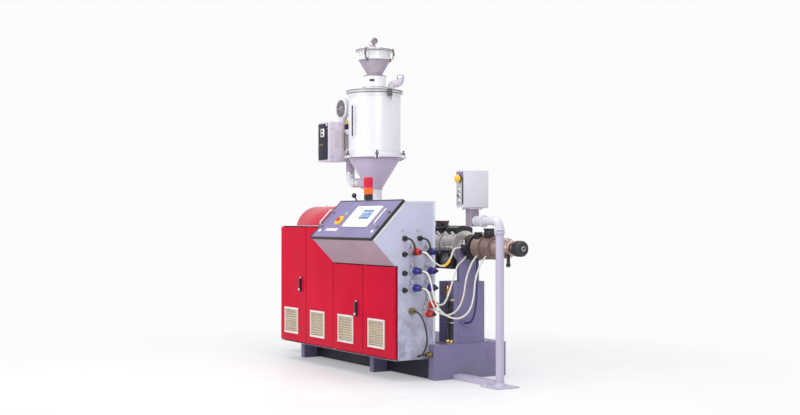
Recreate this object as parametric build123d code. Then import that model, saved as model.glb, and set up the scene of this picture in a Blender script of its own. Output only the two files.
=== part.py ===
from build123d import *
import math
import os

# Single-screw plastic extruder: a drive and barrel on a long base, a hopper dryer over the feed
# throat, and a low electrical cabinet with a sloping operator console along the front.
# X is measured from the outer face of the cabinet's end panel, the way the plastic runs.
# Y is measured from the door fronts towards the back, Z from the floor.  Millimetres.

# Cabinet shell
cabinet_length = 1900
cabinet_depth = 350
cabinet_bottom = 155
cabinet_sheet = 2
left_top = 1140
right_top = 1330
console_root = 853
console_reach = 190
console_lip = 1045
console_back = 85

# Extrusion axis, behind the cabinet
axis_behind = 270
axis_z = 985

# Base under the drive and barrel
base_left = -2400
base_lap = 20
base_half = 325
base_under = 110
base_top = 260
base_channel_depth = 45
base_flange = 14
base_step = 6
foot_xs = (-1808, -623)
foot_width = 60
foot_reach = 130
foot_overhang = 30
foot_riser_depth = 60
kick_sheet = 6
kick_floor_gap = 8
kick_end_gap = 3

# Cabinet doors
door_count = 4
door_depth = 16
door_sheet = 2
door_gap = 8
pivot_inset = 6
pivot_pin = 6
pivot_clear = 0.3
pivot_grip = 8
grille_width = 250
grille_height = 220
grille_rise = 70
grille_shift = -30
grille_flange = 16
grille_proud = 6
grille_wall = 4
grille_collar = 10
grille_slats = 9
grille_slat_thick = 3
grille_slat_deep = 12
grille_slat_lean_deg = 35
handle_inset = 90
handle_plate_width = 34
handle_plate_height = 136
handle_plate_thick = 4
handle_lever_width = 22
handle_lever_height = 104
handle_lever_thick = 14
handle_corner = 6
door_post_width = 40
door_post_deep = 16

# Operator console, with places as shares of its width and of its slope
panel_thick = 18
panel_side_lap = 4
panel_foot_lap = 6
screen_width = 385
screen_height = 218
screen_thick = 8
screen_corner = 12
screen_x_share = 0.407
screen_up_share = 0.548
switch_x_share = 0.744
switch_up_share = 0.45
switch_plate = 92
switch_plate_thick = 6
switch_hub = 46
switch_hub_high = 16
switch_grip_width = 16
switch_grip_high = 18
button_size = 30
button_high = 14
button_x_share = 0.727
button_up_share = 0.64
lock_size = 22
lock_high = 7
lock_inset = 64
lock_up_share = 0.167
bow_inset = 48
bow_up_share = 0.48
bow_length = 150
bow_rise = 38
bow_wire = 14
bow_bend = 16

# Warning beacon on the console roof
beacon_x_share = 0.775
beacon_y_share = 0.57
beacon_width = 70
beacon_stem = 44
beacon_stem_high = 18
beacon_base_high = 46
beacon_amber_high = 52
beacon_red_high = 80
beacon_seam = 3

# Sockets, plugs, knobs and glands of the end panel
socket_column_shares = (0.43, 0.8)
socket_row_heights = (955, 815, 690)
low_socket_shares = (0.83, 0.75)
low_socket_heights = (566, 496)
socket_flange = 64
socket_flange_thick = 8
socket_collar = 54
socket_collar_long = 30
socket_corner = 8
plug_ring = 58
plug_ring_long = 14
plug_body = 48
plug_body_long = 62
plug_tail = 20
plug_tail_long = 26
knob_column_share = 0.23
knob_drop = 18
knob_size = 28
knob_long = 30
gland_column_shares = (0.23, 0.606)
gland_height = 1054
gland_size = 28
gland_long = 34
gland_collar = 38
gland_collar_long = 10
lead_size = 13
lead_out = 62
lead_side_share = 0.55
supply_column_share = 0.4
supply_height = 517
supply_gland_size = 36
supply_gland_long = 46
supply_gland_collar = 46
base_gland_inset = 44
base_gland_height = 190

# Drive
drive_left = -2400
drive_right = -1600
drive_radius = 230
drive_shoulder = 1083
drive_vents = 9
drive_vent_pitch = 42
drive_vent_high = 14
drive_vent_deep = 8
drive_vent_long = 420
drive_vent_rise = 220
gearbox_half = 170
gearbox_above = 105
gearbox_corner = 40
gearbox_nose = 210
gearbox_nose_long = 24

# Feed throat and slide gate
hopper_x = -1357
throat_half_x = 100
throat_half_y = 110
throat_half_z = 110
throat_flange_half = 130
throat_flange_thick = 15
gate_leg_half = 105
gate_leg_high = 140
gate_half = 130
gate_high = 90
gate_bore = 140
gate_plate_rise = 46
gate_plate_half = 90
gate_plate_thick = 10
gate_plate_back = 100
gate_plate_front = 146
gate_clear = 0.5
gate_side_clear = 2
gate_rod = 12
gate_rod_reach = 54
gate_rod_rise = 100
gate_knob_size = 42

# Hopper dryer
cone_foot = 150
cone_foot_flange = 220
cone_flange_thick = 12
cone_high = 375
cone_wall = 4
rim_size = 520
drum_size = 446
drum_ring = 486
drum_ring_high = 14
drum_high = 535
drum_wall = 25
lid_size = 478
lid_ring_high = 9
lid_high = 30
lid_waist = 458
lid_crown = 18
lid_crown_size = 240
vent_pipe = 62
vent_pipe_wall = 4
vent_turn_deg = 58.5
vent_foot = 142
vent_reach = 222
vent_level = 64
vent_top = 138
vent_bend = 38
vent_mouth_deep = 26
clamp_width = 30
clamp_deep = 34
clamp_high = 64
clamp_corner = 6
clamp_angles_deg = (-86, -26, 34, 94, 154)
lid_clamp_angles_deg = (0, 180)
sight_turn_deg = -85
sight_width = 46
sight_height = 285
sight_rise = 300
sight_proud = 8
sight_corner = 20
sight_glass_inset = 9
sight_glass_deep = 4

# Dryer heater box, fan and hot-air elbow
heater_turn_deg = 25
heater_clear = 6
heater_width = 199
heater_deep = 200
heater_drop = 20
heater_high = 340
heater_corner = 8
heater_arm_deep = 42
heater_arm_inset = 8
heater_arm_high = 40
heater_arm_rises = (85, 255)
fan_shift = 44
fan_rise = 121
fan_inset = 146
fan_wheel = 192
fan_wheel_long = 42
fan_motor = 96
fan_motor_long = 52
fan_mouth = 150
fan_mouth_deep = 8
fan_outlet = 36
fan_corner = 8
duct_inset = 100
duct_rise = 66
duct_out = 66
duct_drop = 184
duct_size = 76
duct_bend = 62
duct_sink = 60

# Hopper loader
loader_neck = 193
loader_foot = 214
loader_foot_high = 12
loader_neck_high = 112
loader_tip = 116
loader_cone_high = 130
loader_bowl_size = 272
loader_bowl_high = 82
loader_rim = 318
loader_rim_high = 9
loader_wall = 4
loader_lid_crown = 14
loader_lid_crown_size = 210
loader_inlet = 48
loader_inlet_shift = 38
loader_inlet_high = 90
loader_inlet_reach = 52
loader_inlet_bend = 34
loader_inlet_collar = 64
loader_inlet_collar_high = 14
loader_inlet_collar_rise = 12
loader_inlet_mouth_deep = 16

# Barrel, heaters and fans
barrel_size = 110
barrel_nose = 90
band_count = 6
band_start_gap = 97
band_pitch = 200
band_long = 170
band_size = 240
cap_half = 74
cap_high = 42
cap_end_gap = 12
blower_end_gap = 8
blower_half = 128
blower_drop = 26
blower_high = 140
blower_corner = 16
blower_inlet = 96
blower_inlet_deep = 12
pedestal_long = 200
pedestal_setback = 40
pedestal_half = 140
pedestal_drop = 260
saddle_long = 34
saddle_half = 90

# Die
clamp_ring_size = 196
clamp_ring_long = 80
clamp_groove = 12
clamp_groove_deep = 10
die_heater_size = 172
die_heater_count = 2
die_heater_long = 100
die_heater_gap = 16
die_body_size = 130
die_body_long = 300
die_flange_size = 150
die_flange_long = 65
die_cone_size = 96
die_cone_tip = 80
die_cone_long = 55
die_neck_size = 66
die_neck_long = 48
die_nut_size = 110
die_nut_long = 80
die_nut_chamfer = 10
die_pin_size = 34

# Control box on its swivel arm
post_inset = 115
post_before = 120
post_size = 60
post_head = 76
post_head_high = 20
post_plate = 200
post_plate_thick = 10
post_channel_half = 40
post_channel_high = 40
spigot_size = 40
spigot_high = 24
spigot_clear = 0.5
arm_z = 1182
arm_drop = 72
arm_bend = 58
arm_long = 340
arm_swell = 76
arm_swell_long = 70
arm_swell_gap = 48
neck_half = 38
neck_drop = 40
neck_rise = 95
neck_corner = 10
box_half_x = 48
box_half_y = 110
box_high = 278
box_corner = 14
box_knob_drop = 63
box_knob_size = 60
box_knob_long = 26
box_knob_stem = 34
box_knob_stem_long = 12

# Free cables: the points between their two ends
cable_size = 13
cable_exit = 45
cable_landing = 60
supply_landing = 45
heater_seat_share = 0.7
bend_run_share = 0.45
upper_cable_points = (
    (222, 158, 926), (238, 190, 882), (230, 254, 850), (208, 322, 862), (168, 384, 916), (132, 424, 962),
)
middle_cable_points = (
    (226, 151, 786), (252, 154, 732), (262, 170, 626), (262, 216, 538), (270, 292, 482), (304, 366, 468),
    (344, 424, 520), (360, 452, 620), (364, 460, 760),
)
lower_cable_points = (
    (224, 151, 660), (238, 162, 602), (230, 200, 544), (216, 268, 500), (210, 350, 490), (222, 416, 540),
    (238, 448, 630), (246, 460, 760),
)
low_cable_points = (
    (222, 296, 590), (236, 316, 650), (226, 352, 730), (196, 402, 806), (164, 440, 852),
)
water_hose_points = (
    (180, 606, 760), (206, 588, 670), (222, 572, 580), (218, 560, 500), (200, 552, 446),
)
water_hose_size = 16
hose_exit = 50
hose_seat_height = 420
hose_tail = 46
hose_tail_size = 30
supply_cable_points = (
    (142, 146, 480), (176, 154, 410), (190, 160, 332), (178, 160, 270), (150, 150, 214), (98, 142, 186),
    (52, 158, 188),
)

# Cutting tools run past the faces they cut by this much
overrun = 5

# Shared places worked out from the sizes above
axis_y = cabinet_depth + axis_behind
base_front = axis_y - base_half
base_back = axis_y + base_half
body_front = door_depth + door_gap
floor_top = cabinet_bottom + cabinet_sheet
left_end = -cabinet_length
divider = -cabinet_length / 2 + door_gap / 2
leaf_pitch = cabinet_length / door_count
slope_rise = right_top - cabinet_sheet - console_lip
slope_run = console_back + console_reach
slope_length = math.hypot(slope_run, slope_rise)
slope_sin = slope_rise / slope_length
slope_cos = slope_run / slope_length
slope = Plane(
    origin=(0, -console_reach, console_lip), x_dir=(1, 0, 0), z_dir=(0, -slope_sin, slope_cos)
)
socket_spots = [
    (share * cabinet_depth, height) for height in socket_row_heights for share in socket_column_shares
]
socket_spots += [
    (share * cabinet_depth, height) for share, height in zip(low_socket_shares, low_socket_heights)
]
plug_start = socket_flange_thick + socket_collar_long
plug_end = plug_start + plug_ring_long + plug_body_long + plug_tail_long
gearbox_right = hopper_x - throat_half_x
throat_top = axis_z + throat_half_z
gate_foot = throat_top + throat_flange_thick
gate_leg_top = gate_foot + gate_leg_high
gate_top = gate_leg_top + gate_high
cone_top = gate_top + cone_high
drum_low = cone_top + cone_flange_thick
drum_top = drum_low + drum_high
lid_top = drum_top + lid_high
loader_low = lid_top + lid_crown
heater_away = rim_size / 2 + heater_clear
heater_right = hopper_x - heater_away * math.cos(math.radians(heater_turn_deg))
heater_back = axis_y - heater_away * math.sin(math.radians(heater_turn_deg))
heater_left = heater_right - heater_width
heater_front = heater_back - heater_deep
heater_low = cone_top - heater_drop
heater_top = heater_low + heater_high
fan_x = heater_left + heater_width / 2 + fan_shift
band_first = hopper_x + throat_half_x + band_start_gap
barrel_right = band_first + band_pitch * (band_count - 1) + band_long + barrel_nose
pedestal_right = barrel_right - pedestal_setback
pedestal_left = pedestal_right - pedestal_long
base_right = pedestal_right + base_lap
die_left = barrel_right + clamp_ring_long
die_neck_right = die_left + die_body_long + die_flange_long + die_cone_long + die_neck_long
die_right = die_neck_right + die_nut_long
post_x = die_right - post_inset
post_y = axis_y - post_before
post_top = arm_z - arm_drop - post_head_high
neck_x = post_x - arm_long
box_low = arm_z + neck_rise


def block(x0, x1, y0, y1, z0, z1):
    return Pos((x0 + x1) / 2, (y0 + y1) / 2, (z0 + z1) / 2) * Box(x1 - x0, y1 - y0, z1 - z0)


def rod_x(x0, x1, y, z, size):
    return Pos((x0 + x1) / 2, y, z) * Rot(0, 90, 0) * Cylinder(size / 2, x1 - x0)


def rod_y(y0, y1, x, z, size):
    return Pos(x, (y0 + y1) / 2, z) * Rot(90, 0, 0) * Cylinder(size / 2, y1 - y0)


def rod_z(z0, z1, x, y, size):
    return Pos(x, y, (z0 + z1) / 2) * Cylinder(size / 2, z1 - z0)


def slab_yz(points, x0, x1):
    face = make_face(Plane.YZ.offset(x0) * Polyline(*points, close=True))
    return extrude(face, amount=x1 - x0, dir=(1, 0, 0))


def turn_z(points, x, y):
    face = make_face(Plane.XZ * Polyline(*points, close=True))
    return Pos(x, y, 0) * revolve(face, axis=Axis.Z)


def turn_x(points, y, z):
    face = make_face(Plane.XY * Polyline(*points, close=True))
    return Pos(0, y, z) * revolve(face, axis=Axis.X)


def along(path, size):
    start = Plane(origin=path @ 0, z_dir=path % 0)
    return sweep(start * Circle(size / 2), path=path)


def bend_radii(points):
    radii = []
    for before, corner, after in zip(points, points[1:], points[2:]):
        into = Vector(corner) - Vector(before)
        out = Vector(after) - Vector(corner)
        half_turn = math.radians(into.get_angle(out)) / 2
        radii.append(bend_run_share * min(into.length, out.length) / math.tan(half_turn))
    return radii


def cable(points, size):
    return along(FilletPolyline(*points, radius=bend_radii(points)), size)


def group(shapes):
    return Compound([solid for shape in shapes for solid in shape.solids()])


# Base

def base_frame():
    body = block(base_left, base_right, base_front, base_back, base_under, base_top)
    body -= block(
        base_left - overrun, base_step, base_front - overrun, cabinet_depth + base_step,
        cabinet_bottom, base_top + overrun,
    )
    return body - block(
        base_left + base_flange, base_right - base_flange, base_back - base_channel_depth,
        base_back + overrun, base_under + base_flange, base_top - base_flange,
    )


def base_feet():
    half = foot_width / 2
    front = base_front - foot_reach
    feet = []
    for x in foot_xs:
        foot = block(x - half, x + half, front, base_back + foot_overhang, 0, base_under)
        foot += block(x - half, x + half, front, front + foot_riser_depth, base_under, cabinet_bottom)
        feet.append(foot)
    feet.append(block(0, base_right, base_front, base_back, 0, base_under))
    return group(feet)


def kick_plates():
    half = foot_width / 2 + kick_end_gap
    spans = ((foot_xs[0] + half, foot_xs[1] - half), (foot_xs[1] + half, -kick_end_gap))
    return group(
        block(x0, x1, base_front - kick_sheet, base_front, kick_floor_gap, cabinet_bottom)
        for x0, x1 in spans
    )


# Cabinet

def leaf_span(index):
    start = left_end + leaf_pitch * index
    return start + door_gap / 2, start + leaf_pitch - door_gap / 2


def leaf_levels(index):
    roof = left_top if index < 2 else console_root
    return floor_top + door_gap, roof - cabinet_sheet - door_gap


def leaf_axis(index):
    x0, x1 = leaf_span(index)
    return (x0 + pivot_inset if index % 2 == 0 else x1 - pivot_inset), pivot_inset


def pivot_pins(indexes, z0, z1):
    return [rod_z(z0, z1, *leaf_axis(index), pivot_pin) for index in indexes]


def cabinet_floor():
    plate = block(left_end, 0, 0, cabinet_depth, cabinet_bottom, floor_top)
    for pin in pivot_pins(range(door_count), floor_top, floor_top + door_gap + pivot_grip):
        plate += pin
    return plate


def cabinet_roof():
    under = left_top - cabinet_sheet
    left = block(left_end, divider, 0, cabinet_depth, under, left_top)
    for pin in pivot_pins((0, 1), under - door_gap - pivot_grip, under):
        left += pin
    right = block(divider, 0, console_back, cabinet_depth, right_top - cabinet_sheet, right_top)
    return group((left, right))


def cheek(x0, x1, back):
    return slab_yz(
        (
            (body_front, floor_top), (body_front, console_root), (0, console_root),
            (-console_reach, console_lip), (console_back, right_top - cabinet_sheet),
            (back, right_top - cabinet_sheet), (back, floor_top),
        ),
        x0, x1,
    )


def door_post(x0, x1, high):
    return block(x0, x1, body_front, body_front + door_post_deep, floor_top, high)


def cabinet_panels():
    y0 = cabinet_depth - cabinet_sheet
    inner_left = left_end + cabinet_sheet
    roof = left_top - cabinet_sheet
    side = block(left_end, inner_left, body_front, cabinet_depth, floor_top, roof)
    low = block(inner_left, divider, y0, cabinet_depth, floor_top, roof)
    high = block(divider, -cabinet_sheet, y0, cabinet_depth, floor_top, right_top - cabinet_sheet)
    middle = cheek(divider, divider + cabinet_sheet, y0)
    half = door_post_width / 2
    posts = (
        door_post(left_end + leaf_pitch - half, left_end + leaf_pitch + half, roof),
        door_post(divider - half, divider, roof),
        door_post(-leaf_pitch - half, -leaf_pitch + half, console_root - cabinet_sheet),
    )
    return group((side, low + high, middle, *posts))


def cabinet_end_panel():
    return cheek(-cabinet_sheet, 0, cabinet_depth)


def console_underside():
    low = console_root - cabinet_sheet
    sheet = slab_yz(
        (
            (body_front, low), (0, low), (-console_reach, console_lip - cabinet_sheet),
            (-console_reach, console_lip), (0, console_root), (body_front, console_root),
        ),
        divider, 0,
    )
    for pin in pivot_pins((2, 3), low - door_gap - pivot_grip, low):
        sheet += pin
    return sheet


def grille_box(index):
    x0, x1 = leaf_span(index)
    middle = (x0 + x1) / 2 + grille_shift
    low = floor_top + grille_rise
    return middle - grille_width / 2, middle + grille_width / 2, low, low + grille_height


def grille_cut(index, y0, y1, inset):
    x0, x1, z0, z1 = grille_box(index)
    return block(x0 + inset, x1 - inset, y0, y1, z0 + inset, z1 - inset)


def door(index):
    x0, x1 = leaf_span(index)
    low, high = leaf_levels(index)
    leaf = block(x0, x1, 0, door_depth, low, high)
    leaf -= block(
        x0 + door_sheet, x1 - door_sheet, door_sheet, door_depth + overrun,
        low + door_sheet, high - door_sheet,
    )
    leaf -= rod_z(low - overrun, high + overrun, *leaf_axis(index), pivot_pin + 2 * pivot_clear)
    return leaf - grille_cut(index, -overrun, door_depth + overrun, grille_flange)


def grille(index):
    inside = grille_flange + grille_wall
    body = grille_cut(index, -grille_proud, 0, 0)
    body += grille_cut(index, 0, grille_collar, grille_flange)
    body -= grille_cut(index, -grille_proud - overrun, grille_collar + overrun, inside)
    x0, x1, z0, z1 = grille_box(index)
    pitch = (z1 - z0 - 2 * inside) / grille_slats
    slat = Box(x1 - x0 - 2 * inside, grille_slat_deep, grille_slat_thick)
    for number in range(grille_slats):
        height = z0 + inside + pitch / 2 + pitch * number
        place = Pos((x0 + x1) / 2, (grille_collar - grille_proud) / 2, height)
        body += place * Rot(grille_slat_lean_deg, 0, 0) * slat
    return body


def door_handle(index):
    low, high = leaf_levels(index)
    face = Plane(
        origin=(leaf_span(index)[1] - handle_inset, 0, (low + high) / 2), x_dir=(1, 0, 0), z_dir=(0, -1, 0)
    )
    plate = RectangleRounded(handle_plate_width, handle_plate_height, handle_corner)
    lever = RectangleRounded(handle_lever_width, handle_lever_height, handle_corner)
    body = extrude(face * plate, amount=handle_plate_thick)
    return body + extrude(face * lever, amount=handle_plate_thick + handle_lever_thick)


# Operator console

def console_panel():
    width = 2 * panel_side_lap - divider
    long = slope_length + panel_foot_lap
    place = Pos(divider / 2, long / 2 - panel_foot_lap, panel_thick / 2)
    return slope * place * Box(width, long, panel_thick)


def panel_spot(x_share, up_share):
    return slope * Pos(divider * x_share, slope_length * up_share, panel_thick)


def touch_screen():
    outline = RectangleRounded(screen_width, screen_height, screen_corner)
    return extrude(panel_spot(screen_x_share, screen_up_share) * outline, amount=screen_thick)


def panel_controls():
    spot = panel_spot(switch_x_share, switch_up_share)
    hub_top = switch_plate_thick + switch_hub_high
    switch = extrude(spot * Rectangle(switch_plate, switch_plate), amount=switch_plate_thick)
    switch += extrude(spot * Circle(switch_hub / 2), amount=hub_top)
    switch += extrude(spot * Rectangle(switch_grip_width, switch_hub), amount=hub_top + switch_grip_high)
    spot = panel_spot(button_x_share, button_up_share)
    controls = [switch, extrude(spot * Circle(button_size / 2), amount=button_high)]
    for x in (divider + lock_inset, -lock_inset):
        spot = slope * Pos(x, slope_length * lock_up_share, panel_thick)
        controls.append(extrude(spot * Circle(lock_size / 2), amount=lock_high))
    return group(controls)


def panel_handles():
    low = slope_length * bow_up_share - bow_length / 2
    top = panel_thick + bow_rise
    bows = []
    for x in (divider + bow_inset, -bow_inset):
        path = FilletPolyline(
            (x, low, panel_thick), (x, low, top), (x, low + bow_length, top),
            (x, low + bow_length, panel_thick), radius=bow_bend,
        )
        bows.append(slope * along(path, bow_wire))
    return group(bows)


def warning_beacon():
    stem = right_top + beacon_stem_high
    amber = stem + beacon_base_high
    red = amber + beacon_amber_high
    lens = beacon_width / 2
    seam = lens - beacon_seam
    return turn_z(
        (
            (0, right_top), (lens, right_top), (lens, right_top + beacon_seam),
            (beacon_stem / 2, right_top + beacon_seam), (beacon_stem / 2, stem), (lens, stem),
            (lens, amber - beacon_seam), (seam, amber - beacon_seam), (seam, amber), (lens, amber),
            (lens, red - beacon_seam), (seam, red - beacon_seam), (seam, red), (lens, red),
            (lens, red + beacon_red_high), (0, red + beacon_red_high),
        ),
        divider * beacon_x_share, cabinet_depth * beacon_y_share,
    )


# End panel fittings

def power_sockets():
    fittings = []
    for y, z in socket_spots:
        face = Plane(origin=(0, y, z), x_dir=(0, 1, 0), z_dir=(1, 0, 0))
        flange = RectangleRounded(socket_flange, socket_flange, socket_corner)
        body = extrude(face * flange, amount=socket_flange_thick)
        fittings.append(body + rod_x(0, plug_start, y, z, socket_collar))
    knob_y = knob_column_share * cabinet_depth
    for height in socket_row_heights:
        fittings.append(rod_x(0, knob_long, knob_y, height - knob_drop, knob_size))
    for share in gland_column_shares:
        y = share * cabinet_depth
        gland = rod_x(0, gland_long, y, gland_height, gland_size)
        fittings.append(gland + rod_x(0, gland_collar_long, y, gland_height, gland_collar))
    return group(fittings)


def power_plugs():
    ring_end = plug_start + plug_ring_long
    body_end = ring_end + plug_body_long
    profile = (
        (plug_start, 0), (plug_start, plug_ring / 2), (ring_end, plug_ring / 2),
        (ring_end, plug_body / 2), (body_end, plug_body / 2), (plug_end, plug_tail / 2), (plug_end, 0),
    )
    return group(turn_x(profile, y, z) for y, z in socket_spots)


def panel_leads():
    leads = []
    for share, (y, z) in zip(gland_column_shares, socket_spots):
        start = share * cabinet_depth
        side = start + (y - start) * lead_side_share
        ring = plug_start + plug_ring_long / 2
        path = FilletPolyline(
            (gland_long, start, gland_height), (gland_long + lead_out, start, gland_height),
            (gland_long + lead_out, side, z + plug_ring), (ring, y, z + plug_ring),
            (ring, y, z + plug_ring / 2), radius=lead_size,
        )
        leads.append(along(path, lead_size))
    return group(leads)


def supply_glands():
    y = supply_column_share * cabinet_depth
    upper = rod_x(0, supply_gland_long, y, supply_height, supply_gland_size)
    upper += rod_x(0, gland_collar_long, y, supply_height, supply_gland_collar)
    lower = rod_y(
        base_front - supply_gland_long, base_front, base_right - base_gland_inset, base_gland_height,
        supply_gland_size,
    )
    return group((upper, lower))


# Drive

def drive_housing():
    back = axis_y + drive_radius
    body = block(drive_left, drive_right, axis_y - drive_radius, back, base_top, drive_shoulder)
    middle = (drive_left + drive_right) / 2
    for number in range(drive_vents):
        low = base_top + drive_vent_rise + drive_vent_pitch * number
        body -= block(
            middle - drive_vent_long / 2, middle + drive_vent_long / 2, back - drive_vent_deep,
            back + overrun, low, low + drive_vent_high,
        )
    box = block(
        drive_right, gearbox_right - gearbox_nose_long, axis_y - gearbox_half, axis_y + gearbox_half,
        base_top, axis_z + gearbox_above,
    )
    box = fillet(box.edges().filter_by(Axis.X).group_by(Axis.Z)[-1], gearbox_corner)
    nose = rod_x(gearbox_right - gearbox_nose_long, gearbox_right, axis_y, axis_z, gearbox_nose)
    return body + box + nose


def drive_hood():
    full = rod_x(drive_left, drive_right, axis_y, drive_shoulder, 2 * drive_radius)
    side = drive_radius + overrun
    return full - block(
        drive_left - overrun, drive_right + overrun, axis_y - side, axis_y + side,
        drive_shoulder - side, drive_shoulder,
    )


# Feed throat and slide gate

def square(half, z0, z1):
    return block(hopper_x - half, hopper_x + half, axis_y - half, axis_y + half, z0, z1)


def feed_throat():
    body = block(
        hopper_x - throat_half_x, hopper_x + throat_half_x, axis_y - throat_half_y,
        axis_y + throat_half_y, axis_z - throat_half_z, throat_top,
    )
    return body + square(throat_flange_half, throat_top, gate_foot)


def gate_body():
    body = square(gate_leg_half, gate_foot, gate_leg_top) + square(gate_half, gate_leg_top, gate_top)
    body -= rod_z(gate_foot - overrun, gate_top + overrun, hopper_x, axis_y, gate_bore)
    side = gate_plate_half + gate_side_clear
    room = gate_plate_thick / 2 + gate_clear
    height = gate_leg_top + gate_plate_rise
    return body - block(
        hopper_x - side, hopper_x + side, axis_y - gate_half - overrun,
        axis_y + gate_plate_back + gate_side_clear, height - room, height + room,
    )


def slide_gate():
    front = axis_y - gate_plate_front
    height = gate_leg_top + gate_plate_rise
    plate = block(
        hopper_x - gate_plate_half, hopper_x + gate_plate_half, front, axis_y + gate_plate_back,
        height - gate_plate_thick / 2, height + gate_plate_thick / 2,
    )
    tip = (hopper_x, front - gate_rod_reach, height + gate_rod_rise)
    stem = along(Line((hopper_x, front + gate_rod / 2, height), tip), gate_rod)
    return plate + stem + Pos(*tip) * Sphere(gate_knob_size / 2)


# Hopper dryer

def dryer_cone():
    low = gate_top + cone_flange_thick
    foot = cone_foot / 2
    top = drum_size / 2
    return turn_z(
        (
            (foot - cone_wall, gate_top), (cone_foot_flange / 2, gate_top), (cone_foot_flange / 2, low),
            (foot, low), (top, cone_top), (rim_size / 2, cone_top), (rim_size / 2, drum_low),
            (top - cone_wall, drum_low), (top - cone_wall, cone_top), (foot - cone_wall, low),
        ),
        hopper_x, axis_y,
    )


def cone_envelope():
    low = gate_top + cone_flange_thick
    return turn_z(
        ((0, low), (cone_foot / 2, low), (drum_size / 2, cone_top), (0, cone_top)), hopper_x, axis_y
    )


def dryer_drum():
    inner = drum_size / 2 - drum_wall
    ring_top = drum_low + drum_ring_high
    return turn_z(
        (
            (inner, drum_low), (drum_ring / 2, drum_low), (drum_ring / 2, ring_top),
            (drum_size / 2, ring_top), (drum_size / 2, drum_top), (inner, drum_top),
        ),
        hopper_x, axis_y,
    )


def drum_envelope():
    return rod_z(drum_low, drum_top, hopper_x, axis_y, drum_size)


def dryer_lid():
    lid = turn_z(
        (
            (0, drum_top), (lid_size / 2, drum_top), (lid_size / 2, drum_top + lid_ring_high),
            (lid_waist / 2, drum_top + lid_ring_high), (lid_waist / 2, lid_top - lid_ring_high),
            (lid_size / 2, lid_top - lid_ring_high), (lid_size / 2, lid_top),
            (lid_crown_size / 2, loader_low), (0, loader_low),
        ),
        hopper_x, axis_y,
    )
    level = lid_top + vent_level
    top = lid_top + vent_top
    path = FilletPolyline(
        (vent_foot, 0, drum_top + lid_ring_high), (vent_foot, 0, level), (vent_reach, 0, level),
        (vent_reach, 0, top), radius=vent_bend,
    )
    bore = rod_z(top - vent_mouth_deep, top + overrun, vent_reach, 0, vent_pipe - 2 * vent_pipe_wall)
    return lid + round_hopper(vent_turn_deg, along(path, vent_pipe) - bore)


def round_hopper(angle_deg, shape):
    return Pos(hopper_x, axis_y, 0) * Rot(0, 0, angle_deg) * shape


def hook(size, low, high):
    body = block(size / 2, size / 2 + clamp_deep, -clamp_width / 2, clamp_width / 2, low, high)
    return fillet(body.edges().filter_by(Axis.Z), clamp_corner)


def dryer_clamps():
    low_rim = hook(rim_size, cone_top - clamp_high / 2, cone_top + clamp_high / 2)
    lid_rim = hook(lid_size, lid_top - clamp_high, lid_top)
    hooks = [round_hopper(angle, low_rim) for angle in clamp_angles_deg]
    return group(hooks + [round_hopper(angle, lid_rim) for angle in lid_clamp_angles_deg])


def sight_glass():
    face = Plane(origin=(0, 0, drum_low + sight_rise), x_dir=(0, 1, 0), z_dir=(1, 0, 0))
    outer = drum_size / 2 + sight_proud
    inset = 2 * sight_glass_inset
    frame = extrude(face * RectangleRounded(sight_width, sight_height, sight_corner), amount=outer)
    pane = RectangleRounded(sight_width - inset, sight_height - inset, sight_corner - sight_glass_inset)
    frame -= extrude(face.offset(outer - sight_glass_deep) * pane, amount=sight_glass_deep + overrun)
    return round_hopper(sight_turn_deg, frame) - drum_envelope()


def dryer_control_box():
    body = block(heater_left, heater_right, heater_front, heater_back, heater_low, heater_top)
    body = fillet(body.edges().filter_by(Axis.Z), heater_corner)
    arm_back = heater_back - heater_arm_inset
    for rise in heater_arm_rises:
        middle = heater_low + rise
        body += block(
            heater_right - heater_corner, hopper_x, arm_back - heater_arm_deep, arm_back,
            middle - heater_arm_high / 2, middle + heater_arm_high / 2,
        )
    body -= drum_envelope()
    return body.solids().sort_by(Axis.X)[0]


def dryer_fan():
    front = heater_front + fan_inset
    wheel_back = front + fan_wheel_long
    z = heater_top + fan_rise
    body = rod_y(front, wheel_back, fan_x, z, fan_wheel)
    body = fillet(body.edges(), fan_corner)
    body += rod_y(wheel_back - fan_corner, wheel_back + fan_motor_long, fan_x, z, fan_motor)
    body += block(fan_x - fan_outlet, fan_x + fan_outlet, front, wheel_back, heater_top, z)
    return body - rod_y(front - overrun, front + fan_mouth_deep, fan_x, z, fan_mouth)


def hot_air_elbow():
    x = heater_left + duct_inset
    y = heater_back + duct_out
    high = heater_low + duct_rise
    low = heater_low - duct_drop
    inward = Vector(hopper_x - x, axis_y - y, 0)
    cone_radius = (low - gate_top) / cone_high * (drum_size - cone_foot) / 2 + cone_foot / 2
    reach = inward.normalized() * (inward.length - cone_radius + duct_sink)
    path = FilletPolyline(
        (x, heater_back, high), (x, y, high), (x, y, low), (x + reach.X, y + reach.Y, low), radius=duct_bend
    )
    return along(path, duct_size) - cone_envelope()


# Hopper loader

def loader_bowl():
    neck = loader_neck / 2
    tip = loader_tip / 2
    bowl = loader_bowl_size / 2
    cone_low = loader_low + loader_neck_high
    bowl_low = cone_low + loader_cone_high
    top = bowl_low + loader_bowl_high
    return turn_z(
        (
            (neck - loader_wall, loader_low), (loader_foot / 2, loader_low),
            (loader_foot / 2, loader_low + loader_foot_high), (neck, loader_low + loader_foot_high),
            (neck, cone_low), (tip, cone_low), (bowl, bowl_low), (bowl, top - loader_rim_high),
            (loader_rim / 2, top - loader_rim_high), (loader_rim / 2, top), (bowl - loader_wall, top),
            (bowl - loader_wall, bowl_low), (tip - loader_wall, cone_low),
            (tip - loader_wall, cone_low - loader_wall), (neck - loader_wall, cone_low - loader_wall),
        ),
        hopper_x, axis_y,
    )


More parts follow.
